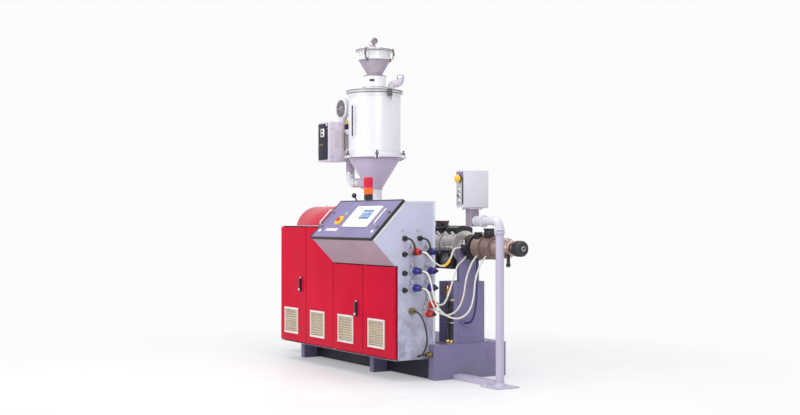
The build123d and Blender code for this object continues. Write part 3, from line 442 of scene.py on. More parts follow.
def lathe(bm, profile, origin, direction, steps=32, mat=0):  # profile of (radius, height) pairs, millimetres
    small = bmesh.new()
    verts = [small.verts.new((radius / 1000, 0, height / 1000)) for radius, height in profile]
    edges = [small.edges.new(pair) for pair in zip(verts, verts[1:])]
    bmesh.ops.spin(
        small, geom=verts + edges, cent=(0, 0, 0), axis=(0, 0, 1), angle=2 * math.pi, steps=steps,
        use_merge=True)
    bmesh.ops.remove_doubles(small, verts=small.verts, dist=1e-6)
    bmesh.ops.transform(small, matrix=Matrix.Translation(origin) @ turnTo(direction), verts=small.verts)
    addTo(bm, small, mat)


def slab(bm, centre, size, bevel, mat=0, turn=None):  # a box with rounded edges, its sizes in millimetres
    small = bmesh.new()
    size = [n / 1000 for n in size]
    place = Matrix.Translation(centre) @ (turn or Matrix())
    bmesh.ops.create_cube(small, size=1, matrix=place @ Matrix.Diagonal((*size, 1)))
    if bevel:
        bmesh.ops.bevel(
            small, geom=small.edges[:], offset=min(bevel / 1000, min(size) * .45), segments=2, affect="EDGES",
            profile=.5, material=-1)
    addTo(bm, small, mat)


def tube(bm, points, size, sides=12, mat=0, closed=False):  # round bar along points
    small = bmesh.new()
    points = [Vector(point) for point in points]
    count = len(points)
    frames = []
    side = None
    for index, point in enumerate(points):
        before = points[index - 1] if index or closed else point
        after = points[(index + 1) % count] if index < count - 1 or closed else point
        ahead = (after - before).normalized()
        side = side or ahead.orthogonal()
        side = (side - ahead * side.dot(ahead)).normalized()
        turn = Matrix((side, ahead.cross(side), ahead)).transposed().to_4x4()
        frames.append(Matrix.Translation(point) @ turn)
    bmesh.ops.create_circle(small, cap_ends=not closed, radius=size / 2000, segments=sides, matrix=frames[0])
    first = ring = small.edges[:]
    for old, new in zip(frames, frames[1:]):
        made = bmesh.ops.extrude_edge_only(small, edges=ring)["geom"]
        verts = [item for item in made if isinstance(item, bmesh.types.BMVert)]
        fresh = set(verts)
        edges = [item for item in made if isinstance(item, bmesh.types.BMEdge)]
        ring = [edge for edge in edges if fresh.issuperset(edge.verts)]
        bmesh.ops.transform(small, matrix=new @ old.inverted(), verts=verts)
    if closed:
        bmesh.ops.bridge_loops(small, edges=first + ring)
    else:
        bmesh.ops.edgeloop_fill(small, edges=ring)
    addTo(bm, small, mat)


def bolt(bm, place, direction, size, mat=0):  # hexagon head on a washer
    r = size / 2
    head = [(0, r * 1.35), (r * 1.25, r * 1.35), (r * 1.55, r * 1.1), (r * 1.55, r * .25)]
    lathe(bm, [(0, r * .25), (r * 1.9, r * .25), (r * 1.95, 0)], place, direction, 20, mat)
    lathe(bm, head, place, direction, 6, mat)


def screw(bm, place, direction, size, mat=0):  # low domed screw with a socket
    r = size / 2
    dome = [(r * .5, r * .3), (r * .5, r * .72), (r * .8, r * .66), (r, r * .3), (r, 0)]
    lathe(bm, dome, place, direction, 16, mat)
    lathe(bm, [(0, r * .3), (r * .5, r * .3)], place, direction, 6, mat)


# profiles for the lathe that come back often
def cap(top, shoulder, foot, height, edge, low=0):  # low round cap
    return [(0, height), (top, height), (shoulder, edge), (foot, low)]


def band(inner, outer, half, flat):  # strap round a pipe
    return [(inner, -half), (outer, -flat), (outer, flat), (inner, half)]


def collar(inner, outer, low, high, cut=1, drop=2):  # ring or nut with cut edges
    return [
        (inner, low), (outer - cut, low), (outer, low + drop), (outer, high - drop), (outer - cut, high),
        (inner, high)]


def stud(tip, waist, foot, levels):  # stepped stud, from its tip down
    top, taper, step, seat = levels
    return [(0, top), (tip, top), (waist, taper), (waist, step), (foot, seat), (foot, 0)]


def compass(axis, count, start=0.0, sweep=2 * math.pi):  # unit vectors evenly round an axis
    first, second = dict(x=(1, 2), y=(0, 2), z=(0, 1))[axis]
    rays = [Vector() for step in range(count)]
    for step, ray in enumerate(rays):
        ray[first] = math.cos(sweep * step / count + start)
        ray[second] = math.sin(sweep * step / count + start)
    return rays


def guardRings(bm, centre, axis, radii, points, size, sides, mat):
    for radius in radii:
        tube(bm, [centre + ray * radius / 1000 for ray in compass(axis, points)], size, sides, mat, True)


def guardSpokes(bm, centre, axis, reach, count, size, mat, start=0.0):
    for ray in compass(axis, count, start, math.pi):
        tube(bm, (centre - ray * reach / 1000, centre + ray * reach / 1000), size, 6, mat)


def moved(dx, dy, dz):  # at() from another origin
    return lambda x, y, z: at(x + dx, y + dy, z + dz)


def grid(*spans):  # every place of a grid, from single values and rows of values
    return product(*[span if isinstance(span, (tuple, range)) else (span,) for span in spans])


# Makes what a piece's values list, in the frame that spot and turn give:
# blocks (three spans, bevel, slot), turned (profile, place, direction, steps, slot),
# bolts and screws (place, direction, size, slot), bars (points, size, sides, slot),
# ribs (place, axis, count, radius, span along the axis, size, slot).
def fitUp(bm, v, spot=at, turn=None):
    way = turn.to_3x3() if turn else Matrix.Identity(3)
    for *spans, bevel, mat in v.get("blocks", ()):
        centre = spot(*[sum(span) / 2 for span in spans])
        slab(bm, centre, [abs(end - start) for start, end in spans], bevel, mat, turn)
    for profile, *place, direction, steps, mat in v.get("turned", ()):
        for x, y, z in grid(*place):
            lathe(bm, profile, spot(x, y, z), way @ Vector(direction), steps, mat)
    for head, rows in ((bolt, "bolts"), (screw, "screws")):
        for *place, direction, size, mat in v.get(rows, ()):
            for x, y, z in grid(*place):
                head(bm, spot(x, y, z), way @ Vector(direction), size, mat)
    for points, size, sides, mat in v.get("bars", ()):
        tube(bm, [spot(*point) for point in points], size, sides, mat)
    for *place, axis, count, radius, span, size, mat in v.get("ribs", ()):
        along = Vector([axis == name for name in "xyz"]) / 1000
        for (x, y, z), ray in product(grid(*place), compass(axis, count)):
            foot = spot(x, y, z) + ray * radius / 1000
            tube(bm, (foot + along * span[0], foot + along * span[1]), size, 6, mat)


def piece(bm, name, mats, body="machine", solid=None):
    sharp = math.radians(38)
    bmesh.ops.recalc_face_normals(bm, faces=bm.faces)
    for face in bm.faces:
        face.smooth = True
    for edge in bm.edges:
        edge.smooth = len(edge.link_faces) == 2 and edge.calc_face_angle(0) < sharp
    mesh = bpy.data.meshes.new(name)
    bm.to_mesh(mesh)
    bm.free()
    for mat in mats.split():
        mesh.materials.append(looks[mat])
    obj = bpy.data.objects.new(name, mesh)
    scene.collection.objects.link(obj)
    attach(obj, body)
    if solid:
        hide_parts(solid)
    return obj


def fitted(name, mats, v, body="machine", solid=None, **setting):  # a piece that its values say in full
    bm = bmesh.new()
    fitUp(bm, v, **setting)
    return piece(bm, name, mats, body, solid)


# Free cables

def routeCurve(name, route):  # one smooth line with the route's points as its control points
    curve = bpy.data.curves.new(name, "CURVE")
    curve.dimensions = "3D"
    curve.resolution_u = 10
    spline = curve.splines.new("NURBS")
    spline.points.add(len(route) - 1)
    for point, spot in zip(spline.points, route):
        point.co = (*at(*spot), 1)
    spline.order_u = 3
    spline.use_endpoint_u = True
    return curve


def routePoints(curve):  # points of the route's own spline
    plain = curve.copy()
    plain.bevel_depth = 0
    holder = bpy.data.objects.new("route", plain)
    mesh = bpy.data.meshes.new_from_object(holder)
    points = [vert.co.copy() for vert in mesh.vertices]
    bpy.data.objects.remove(holder)
    bpy.data.curves.remove(plain)
    bpy.data.meshes.remove(mesh)
    return points


def cableSleeve(name, curve, v):
    points = routePoints(curve)
    first, last = (round(share * (len(points) - 1)) for share in v["span"])
    bm = bmesh.new()
    tube(bm, points[first:last + 1], v["size"], 16, 0)
    for index in (first, last):
        tube(bm, points[index - 1:index + 2], v["size"] + 2, 16, 0)
    return piece(bm, name + "Sleeve", v["finish"])


def freeCable(name, v):
    curve = routeCurve(name, v["route"])
    curve.bevel_depth = v["size"] / 2000
    curve.bevel_resolution = 5
    curve.use_fill_caps = True
    curve.materials.append(looks[v["finish"]])
    obj = bpy.data.objects.new(name, curve)
    scene.collection.objects.link(obj)
    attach(obj, "machine")
    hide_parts(v["node"])
    sleeves = [cableSleeve(name, curve, v["sleeve"])] if "sleeve" in v else []


cables = dict(
    upperHeaterCable=dict(
        node="upper_heater_cable", size=13, length=.552, finish="creamCable",
        sleeve=dict(span=(.5, .62), size=19, finish="yellowPlastic"),
        route=(
            (140, 150.5, 955), (185, 150.5, 955), (222, 158, 926), (238, 190, 882), (230, 254, 850),
            (208, 322, 862), (168, 384, 916), (132, 424, 962), (117, 462, 985), (117, 522, 985))),
    middleHeaterCable=dict(
        node="middle_heater_cable", size=13, length=1.051, finish="creamCable", route=(
            (140, 150.5, 815), (185, 150.5, 815), (226, 151, 786), (252, 154, 732), (262, 170, 626),
            (262, 216, 538), (270, 292, 482), (304, 366, 468), (344, 424, 520), (360, 452, 620),
            (364, 460, 760), (362, 515.7, 882.8), (362, 558.6, 924.8))),
    lowerHeaterCable=dict(
        node="lower_heater_cable", size=13, length=.881, finish="creamCable", route=(
            (140, 150.5, 690), (185, 150.5, 690), (224, 151, 660), (238, 162, 602), (230, 200, 544),
            (216, 268, 500), (210, 350, 490), (222, 416, 540), (238, 448, 630), (246, 460, 760),
            (246, 515.7, 882.8), (246, 558.6, 924.8))),
    lowHeaterCable=dict(
        node="low_heater_cable", size=13, length=.543, finish="creamCable", route=(
            (140, 290.5, 566), (185, 290.5, 566), (222, 296, 590), (236, 316, 650), (226, 352, 730),
            (196, 402, 806), (164, 440, 852), (117, 507.2, 874.4), (117, 550, 916.4))),
    waterHose=dict(
        node="water_hose", size=16, length=.554, finish="blueHose", route=(
            (163, 620, 887), (163, 620, 837), (180, 606, 760), (206, 588, 670), (222, 572, 580),
            (218, 560, 500), (200, 552, 446), (156, 550, 420), (106, 550, 420))),
    supplyCable=dict(
        node="supply_cable", size=13, length=.584, finish="rubber", route=(
            (46, 140, 517), (91, 140, 517), (142, 146, 480), (176, 154, 410), (190, 160, 332),
            (178, 160, 270), (150, 150, 214), (98, 142, 186), (52, 158, 188), (36, 204, 190), (36, 249, 190))))
for name, v in cables.items():
    freeCable(name, v)


def panelLeads(v):  # short stiff leads from the glands to the top plugs
    bm = bmesh.new()
    for route in v["routes"]:
        curve = routeCurve("lead", route)
        tube(bm, routePoints(curve), v["size"], 14, 0)
        bpy.data.curves.remove(curve)
    piece(bm, "panelLeads", "rubber", solid="panel_leads")


panelLeads(dict(size=15, routes=(
    ((34, 80.5, 1054), (74, 80.5, 1054), (108, 86, 1036), (122, 94, 1000), (112, 104, 960), (88, 112, 938),
     (62, 118, 936), (44, 127, 942)),
    ((34, 212.1, 1054), (76, 212.1, 1054), (116, 217, 1036), (132, 224, 1000), (120, 234, 960),
     (94, 242, 938), (66, 249, 936), (44, 257, 942)))))
print("stage: cables")


# Console: its values are along it, up its slope and out of its face

slopeUp = Vector((0, 275, 283)).normalized()
slopeOut = Vector((0, -283, 275)).normalized()


def slopeAt(x, up, out):
    return at(x, -190, 1045) + (slopeUp * up + slopeOut * (18 + out)) / 1000


slope = dict(spot=slopeAt, turn=Matrix.Rotation(math.atan2(283, 275), 4, "X"))

fitted("consoleTrim", "rubber whitePlastic", dict(blocks=(
    ((-5, 6.6), (-9, 396), (-.6, 2.6), 1.2, 0),  # black edge and skirt of each side
    ((4, 6.6), (-9, 396), (-19, 2.6), 1.2, 0),
    ((-952.6, -941), (-9, 396), (-.6, 2.6), 1.2, 0),
    ((-952.6, -950), (-9, 396), (-19, 2.6), 1.2, 0),
    ((-952, 6), (-9, 3), (-.6, 2.6), 1.2, 0),  # lower and upper edges
    ((-952, 6), (-9, -5), (-20, 2.6), 1.2, 0),
    ((-952, 6), (387, 396), (-.6, 2.6), 1.2, 0),
    ((-2, 2.4), (4, 388), (-34, -19.5), .8, 1),  # pale folded edge under the lid
    ((-948.4, -944), (4, 388), (-34, -19.5), .8, 1),
    ((-944, -2), (-6, 0), (-25, -18.4), .8, 1))), **slope)


def displayGlass(v):
    tree, shader, place, axes = newMaterial("displayGlass")
    left, right = v["across"]
    low, high = v["rise"]
    across = remap(tree, axes["X"], at(left, 0, 0).x, at(right, 0, 0).x)
    rise = remap(tree, axes["Z"], slopeAt(0, low, 0).z, slopeAt(0, high, 0).z)
    tone = mix(tree, rise, v["foot"], v["top"])
    for x0, x1, z0, z1, shade in v["blocks"]:
        wide = times(tree, remap(tree, across, x0, x0 + .012), remap(tree, across, x1, x1 - .012))
        tall = times(tree, remap(tree, rise, z0, z0 + .02), remap(tree, rise, z1, z1 - .02))
        tone = mix(tree, times(tree, wide, tall), tone, shade)
    rough = remap(tree, noise(tree, place, 40, 3), .3, .7, (.07, .14))
    wire(tree, shader, {
        "Base Color": tone, "Emission Color": tone, "Emission Strength": .35, "Roughness": rough})


displayGlass(dict(across=(-415, -268), rise=(190, 282), foot=(.030, .075, .20), top=(.085, .17, .36), blocks=(
    (.06, .62, .70, .88, (.30, .42, .58)), (.06, .42, .46, .58, (.24, .36, .52)),
    (.06, .42, .28, .40, (.24, .36, .52)), (.50, .92, .22, .60, (.16, .28, .46)),
    (.70, .92, .72, .86, (.36, .50, .62)))))  # plain blocks of a generic display

fitted("screenFace", "displayGlass edgePaint steel", dict(
    blocks=(((-421, -262), (184, 288), (7.4, 9.2), 1.2, 1), ((-415, -268), (190, 282), (8.4, 10.2), .6, 0)),
    screws=(((-566, -204), (118, 314), 8, upward, 7, 2),)), **slope)

fitted("consoleControls", "yellowPlastic redPlastic greenPlastic chrome blackPlastic whitePlastic", dict(
    turned=(
        (cap(47, 49, 49, 6, 4.5), -703.8, 177.6, 0, upward, 8, 0),  # main switch
        (cap(34, 36, 37, 11, 9, 6), -703.8, 177.6, 0, upward, 40, 0),
        (cap(15, 18, 19, 17, 15, 11), -703.8, 177.6, 0, upward, 40, 1),
        ([(15, 8), (17.5, 7.5), (18.5, 5), (18.5, 0)], -687.7, 252.5, 0, upward, 36, 3),  # push button
        ([(0, 14.5), (8, 14), (12.5, 12.5), (14.2, 10), (14.6, 4)], -687.7, 252.5, 0, upward, 36, 2),
        (cap(11, 14, 15, 6, 4.5), (-882, -64), 65.9, 0, upward, 32, 5),  # corner locks
        (cap(7, 9, 9.5, 9, 7.5, 6), (-882, -64), 65.9, 0, upward, 24, 3)),
    blocks=(
        ((-710.3, -697.3), (159.6, 195.6), (15, 25), 3.5, 1),  # grip of the switch
        ((-883.2, -880.8), (60.9, 70.9), (8.4, 9.6), .3, 4),  # key slots
        ((-65.2, -62.8), (60.9, 70.9), (8.4, 9.6), .3, 4))), solid="panel_controls", **slope)

fitted("consolePlate", "steel whitePlastic blackPlastic", dict(
    blocks=(((-800, -612), (62, 96), (0, 2), .8, 0), ((-792, -620), (68, 90), (1.6, 2.6), .5, 1)),
    screws=(((-795, -617), 79, 2, upward, 6, 0),),
    turned=(  # black feet of the bow handles
        ([(7, 5), (9.5, 4.5), (11, 3), (11.5, 0)], (-898, -48), (114.4, 264.4), 0, upward, 28, 2),)), **slope)
print("stage: console")


# Doors: filter mesh, grille frames, lock barrels

def doorDetails(index, name, v):
    bm = bmesh.new()
    middle = v["firstVent"] + v["pitch"] * index
    fitUp(bm, v["vent"], moved(middle, 0, 0))
    if index in v["lockLevels"]:
        fitUp(bm, v["lock"], moved(middle + v["lockSide"], 0, v["lockLevels"][index]))
    piece(bm, name + "Fittings", "filterMat beigePlastic whitePlastic chrome blackPlastic", name + "_leaf")


doors = dict(
    firstVent=-1692.5, pitch=475, lockSide=173.5, lockLevels={0: 647.5, 2: 504},
    vent=dict(
        blocks=(
            ((-105, 105), (5.5, 7.5), (247, 427), .4, 0),  # filter mat
            ((-122, 122), (-9, -5.6), (229, 241), 1.5, 2),  # pale rolled rims round the mesh; their pale colour at top and bottom is a painted highlight of the grille frame
            ((-122, 122), (-9, -5.6), (433, 445), 1.5, 2),
            ((-122, -112), (-8, -5.6), (243, 431), 1.2, 2),
            ((112, 122), (-8, -5.6), (243, 431), 1.2, 2)),
        bars=(
            *[(((x, 4, 247), (x, 4, 427)), 1.8, 6, 1) for x in range(-105, 105, 9)],
            *[(((-105, 4.6, z + .5), (105, 4.6, z + .5)), 1.8, 6, 1) for z in range(251, 427, 9)]),
        screws=(((-117, 117), -9, (235, 439), toFront, 7, 3),)),
    lock=dict(
        turned=(
            (cap(6.5, 8, 8.5, 5, 4), 0, -4, 58, toFront, 24, 3),
            (cap(7, 9.5, 10.5, 20, 18.5, 14), 0, -4, -40, toFront, 24, 3)),
        blocks=(((-1, 1), (-9.6, -8.6), (54, 62), .2, 4), ((-8, 8), (-19.4, -17.4), (-22, 44), 1.2, 4))))
for index, name in enumerate(("first", "second", "third", "fourth")):
    doorDetails(index, name, doors)
print("stage: doors")


# End panel: plugs, socket covers, screws and folded edges

socketSpots = [(y, z) for z in (955, 815, 690) for y in (150.5, 280)] + [(290.5, 566), (262.5, 496)]


def plugSet(v):
    bm = bmesh.new()
    for number, (y, z) in enumerate(socketSpots):
        tint = 1 if number in v["red"] else 0
        fitUp(bm, dict(
            turned=(
                (v["shell"], 0, 0, 0, toEnd, 40, tint),
                (v["tail"], 0, 0, 0, toEnd, 32, 2),
                (v["darkBand"], 0, 0, 0, toEnd, 40, 2),
                (v["seal"], 0, 0, 0, toEnd, 40, 3)),
            ribs=((0, 0, 0, "x", 18, 29, (2, 11.5), 2.6, tint),)), moved(v["out"], y, z))  # grip of the ring
    piece(bm, "plugSet", "bluePlastic redPlastic blackPlastic whitePlastic", solid="power_plugs")


plugSet(dict(
    red=(0, 6, 7), out=38, seal=[(27.6, -6), (30, -5), (30.4, -1), (28.6, 0)],
    shell=[
        (0, 0), (27, 0), (29, 1.5), (29, 12.5), (27, 14), (24.5, 15), (24.5, 30), (23.6, 33), (23.6, 44),
        (24.5, 47), (24.5, 60), (23, 64), (21, 68), (17.5, 73), (14.5, 78)],
    tail=[(14.5, 76), (14.8, 79), (14.2, 84), (13.2, 86), (13.2, 90), (11.4, 95), (10, 102), (7, 102)],
    darkBand=[(24.4, 36), (25.4, 37), (25.4, 41), (24.4, 42)]))


def socketCovers(v):
    bm = bmesh.new()
    for y, z in socketSpots:
        fitUp(bm, v, moved(0, y, z))
    piece(bm, "socketCovers", "steel greyPlastic")


socketCovers(dict(
    screws=((8, (-26, 26), (-26, 26), toEnd, 7, 0),),
    bars=((((14, -20, 30), (14, 20, 30)), 7, 10, 1),),  # hinge of the spring cover
    blocks=(((12, 17), (-24, 24), (30, 58), 2.2, 1),),
    turned=((cap(16, 20, 21, 7, 5), 17, 0, 44, (1, 0, .12), 28, 1),)))

fitted("endPanelFittings", "edgePaint steel greyPlastic blackPlastic oldBrass", dict(
    blocks=(  # folded rear and top edges
        ((-.2, 2.2), (332, 351.5), (160, 1327), .8, 0), ((-.2, 2.2), (92, 332), (1316, 1327.5), .8, 0)),
    screws=((2, 342, range(190, 1211, 170), toEnd, 8, 1), (2, (120, 225), 1321, toEnd, 8, 1)),
    turned=(
        (cap(7, 10.5, 12, 4, 3), 0, (66, 196), 1112, toEnd, 28, 2),  # small caps over the glands
        ([(13.6, 0), (19, 0), (20, 1.5), (20, 5), (18.5, 7), (13.6, 8)],
         0, 80.5, (937, 797, 672), toEnd, 36, 3),
        (collar(15, 20, 10, 23), 0, (80.5, 212.1), 1054, toEnd, 6, 3),  # nuts of the lead glands
        (collar(18, 26, 10, 26), 0, 140, 517, toEnd, 6, 4),
        (collar(18, 26, 4, 20), 36, 295, 190, toFront, 6, 4)),
    ribs=((0, 80.5, (937, 797, 672), "x", 12, 13.8, (10, 29.5), 3, 3),)))  # black blanking plugs
print("stage: end panel")


# Drive hood, base and pedestal

def hoodShell(v):  # half-round sheet hood with rolled ends
    bm = bmesh.new()
    x0, x1 = v["span"]
    r, roll = v["radius"], v["roll"]
    outline = [(x0, 0), (x0, r - roll), (x0 + roll * .3, r - roll * .3), (x0 + roll, r)]
    outline += [(x1 - roll, r), (x1 - roll * .3, r - roll * .3), (x1, r - roll), (x1, 0)]
    verts = [bm.verts.new(at(x, v["axis"][0] - out, v["axis"][1])) for x, out in outline]
    edges = [bm.edges.new(pair) for pair in zip(verts, verts[1:])]
    bmesh.ops.spin(
        bm, geom=verts + edges, cent=at(0, *v["axis"]), axis=toDrive, angle=math.pi, steps=64,
        use_merge=False)
    bmesh.ops.remove_doubles(bm, verts=bm.verts, dist=1e-6)
    bmesh.ops.holes_fill(bm, edges=[edge for edge in bm.edges if edge.is_boundary])
    piece(bm, "hoodShell", "hoodPaint", solid="drive_hood")


hoodShell(dict(span=(-2400, -1600), radius=230, roll=7, axis=(620, 1083)))


def driveDetails(v):
    bm = bmesh.new()
    fitUp(bm, v)
    guardRings(bm, at(*v["fan"]), "x", v["rings"], 36, 6, 8, 2)  # fan guard on the motor's end
    guardSpokes(bm, at(*v["fan"]), "x", v["reach"], 8, 5, 2)
    piece(bm, "driveDetails", "edgePaint steel blackPaint")


driveDetails(dict(
    fan=(-2403, 620, 760), rings=(60, 90, 120, 150, 180), reach=186,
    blocks=(
        *[((-2402, -1598), (y - 4, y + 4), (1070, 1088), 1.5, 0) for y in (388, 852)],  # rails under the hood
        *[((x - 5, x + 5), (y - 4, y + 4), (330, 1050), 3, 0)  # ribs of the gear case
          for x in (-1560, -1530, -1500) for y in (450, 790)]),
    bolts=(
        (range(-2360, -1639, 90), 384, 1079, toFront, 7, 1),
        (range(-2360, -1639, 90), 856, 1079, toBack, 7, 1)),
    turned=(
        ([(192, 0), (196, 3), (204, 3), (207, 0)], -2400, 620, 760, toDrive, 48, 0),
        (cap(14, 18, 19, 10, 7, -4), (-2250, -1750), 620, 1313, upward, 28, 1),  # lifting eyes on top
        (cap(15, 18, 18, 16, 12), -1540, 620, 1090, upward, 6, 1))))

fitted("baseDetails", "steel basePaint", dict(
    bolts=(
        ((-1808, -623), 960, 110, upward, 14, 0),  # feet
        (80, (320, 470, 770, 920), (150, 192), toEnd, 9, 1),
        ((-120, -40, 40), (452, 788), 260, upward, 12, 0),
        (60, (500, 740), (330, 480, 630), toEnd, 9, 1),
        (range(-2300, -199, 300), 930, 185, toBack, 12, 1)),
    blocks=(
        ((-170, 74), (430, 810), (259, 267), 2, 1),  # foot plate of the pedestal
        ((59, 63), (520, 720), (300, 690), 2, 1))))  # door of the pedestal

fitted("waterFittings", "brass redPlastic hosePipe rubber steel", dict(
    turned=(
        ([(0, 0), (17, 0), (17, 10), (12, 12), (12, 26), (17, 28), (17, 40), (0, 40)],
         0, 0, 0, toFront, 6, 0),
        ([(0, 30), (9, 30), (11, 26), (11, -30), (14, -32), (14, -44), (9, -46)], 0, -20, 0, upward, 20, 0),
        ([(10, 0), (16, 0), (17, 4), (17, 20), (15, 24), (10, 24)], 3, -19, -398, upward, 6, 0),
        ([(0, 0), (14, 0), (14, 9), (10, 11), (10, 24), (0, 24)], 46, 0, -74, toFront, 6, 0),
        ([(8, 0), (13, 0), (14, 4), (14, 18), (12, 22), (8, 22)], 42, -15, -398, upward, 6, 0)),
    blocks=(
        ((-34, 8), (-27, -13), (30, 36), 2, 1),  # lever of the valve
        *[((-20, 62), (-32, 1), (z - 8, z + 2), 2, 4) for z in (-70, -240)]),  # pipe clips
    bars=(
        (((0, -20, -40), (0, -20, -120), (3, -19, -260), (3, -19, -396)), 20, 14, 2),
        (((46, -16, -70), (46, -16, -180), (42, -15, -300), (42, -15, -396)), 16, 14, 3))),
    spot=moved(4, 480, 664))
print("stage: drive and base")


# Dryer and loader: values round them are out from their axis, sideways and up

hopperAxis = (-1357, 620)


def around(angle, out, along, z):
    a = math.radians(angle)
    x, y = hopperAxis
    return at(x + out * math.cos(a) - along * math.sin(a), y + out * math.sin(a) + along * math.cos(a), z)


def hopperSide(angle):
    turn = Matrix.Rotation(math.radians(angle), 4, "Z")
    return dict(spot=lambda out, along, z: around(angle, out, along, z), turn=turn)


def hopperRings(bm, v):  # round bars and rings of bolts about the axis
    for radius, z, size, mat in v["hoops"]:
        tube(bm, [around(5 * step, radius, 0, z) for step in range(72)], size, 8, mat, True)
    for angles, radius, z, size, mat in v["boltRings"]:
        for angle in angles:
            bolt(bm, around(angle, radius, 0, z), upward, size, mat)


def hopperCone(v):
    bm = bmesh.new()
    axis = at(*hopperAxis, 0)
    foot, top, rim, wall = v["foot"], v["top"], v["rim"], v["wall"]
    low, waist, high, seat = v["levels"]
    cone = [
        (foot + 5, waist - 4), (foot + 5, waist + 4), (foot + 1, waist + 5), (top, high), (top - wall, high)]
    lathe(bm, cone + [(foot - wall, waist + 4), (foot - wall, waist - 4), cone[0]], axis, upward, 72, 0)
    ring = [(top - wall, high), (rim, high), (rim, high + seat), (top - wall, high + seat)]
    lathe(bm, ring + ring[:1], axis, upward, 72, 1)
    neck = [
        (foot - wall, low), (v["flange"], low), (v["flange"], low + seat), (foot, low + seat),
        (foot, waist - 3)]
    lathe(bm, neck + [(foot - wall, waist - 3), neck[0]], axis, upward, 56, 1)
    lathe(bm, v["inlet"], at(*hopperAxis, v["inletLevel"]), v["inletWay"], 48, 0)  # flared air inlet
    piece(bm, "hopperCone", "mauvePaint whitePaint", solid="dryer_cone")


hopperCone(dict(
    foot=64, top=223, rim=260, wall=4, flange=110, levels=(1340, 1452, 1715, 12), inletLevel=1511,
    inletWay=(-.99, -.138, 0), inlet=((70, 58), (67, 92), (49, 172), (46, 182), (44, 188), (38.5, 189))))


def dryerClamps(v):
    bm = bmesh.new()
    for kind in ("lid", "rim"):
        for angle in v[kind]["angles"]:
            fitUp(bm, v[kind], **hopperSide(angle))
    piece(bm, "dryerClamps", "darkSteel whitePaint", solid="dryer_clamps")


dryerClamps(dict(
    lid=dict(  # clips of the lid
        angles=(0, 180), blocks=(((239, 273), (-15, 15), (2228, 2292), 5, 0),),
        bars=(
            (((272, -9, 2228), (272, -9, 2280), (272, -5, 2287), (272, 5, 2287), (272, 9, 2280),
              (272, 9, 2228)), 5, 8, 0),
            (((270, 0, 2234), (275, 0, 2224), (275, 0, 2212), (272, 0, 2198)), 8, 10, 0),
            (((268, -15, 2234), (268, 15, 2234)), 7, 10, 0),
            (((268, -15, 2284), (268, 15, 2284)), 7, 10, 0))),
    rim=dict(  # swing bolts between white lugs on the lower rim
        angles=(-86, -26, 34, 94, 154),
        blocks=(
            ((257, 287), (-18.5, -7.5), (1707, 1735), 3, 1), ((257, 287), (7.5, 18.5), (1707, 1735), 3, 1)),
        turned=(
            ([(0, 72), (6.5, 71), (8, 69), (8, 0), (6, -3), (0, -3)], 272, 0, 1704, upward, 20, 0),
            (collar(8, 15, 33, 49), 272, 0, 1704, upward, 6, 0)),
        bars=((((272, -20, 1710), (272, 20, 1710)), 9, 10, 0),))))


def dryerFittings(v):
    bm = bmesh.new()
    hopperRings(bm, v)
    fitUp(bm, v["seam"], **hopperSide(v["seam"]["angle"]))
    piece(bm, "dryerFittings", "clampSteel sealBrown whitePaint")


dryerFittings(dict(
    seam=dict(angle=118, screws=((223, 0, range(1780, 2221, 44), toEnd, 8, 2),)),  # rivets at the back
    hoops=(
        (240, 2266, 6, 1), (240, 2288, 6, 1), (260, 1715.5, 5, 1), (260, 1726, 4, 2), (244, 1736, 4, 2),
        (224, 2236, 4, 2), (224, 1772, 4, 2)),
    boltRings=(
        ([15 * step for step in range(24) if step % 4], 251, 1727, 7, 2),  # studs of the cone's flange
        (range(22, 382, 45), 98, 1352, 9, 0), (range(10, 370, 45), 102, 2322, 6, 0))))


def sightWindow(v):
    bm = bmesh.new()
    for part in ("glass", "scale"):
        fitUp(bm, v[part], **hopperSide(v[part]["angle"]))
    piece(bm, "sightWindow", "glassDark sealBrown whitePlastic steel beigePlastic")


markLevels = range(1913, 2142, 19)
sightWindow(dict(
    glass=dict(
        angle=-85, screws=((231, 0, (1893, 2161), toEnd, 7, 3),), blocks=(
            ((226.75, 228.25), (-12, 12), (1899, 2155), .4, 0),
            *[((229.6, 230.4), (8 - half, 8 + half), (z - .7, z + .7), 0, 2)  # every third mark is longer
              for z, half in zip(markLevels, (5.5, 3, 3) * 5)])),
    scale=dict(
        angle=-74.8, blocks=(
            ((222.2, 224.6), (-3.6, 3.6), (1901, 2153), .4, 4),
            *[((224.3, 225.3), (-3, 3), (z - 5.5, z + 5.5), 0, 1) for z in markLevels]))))  # dark steps

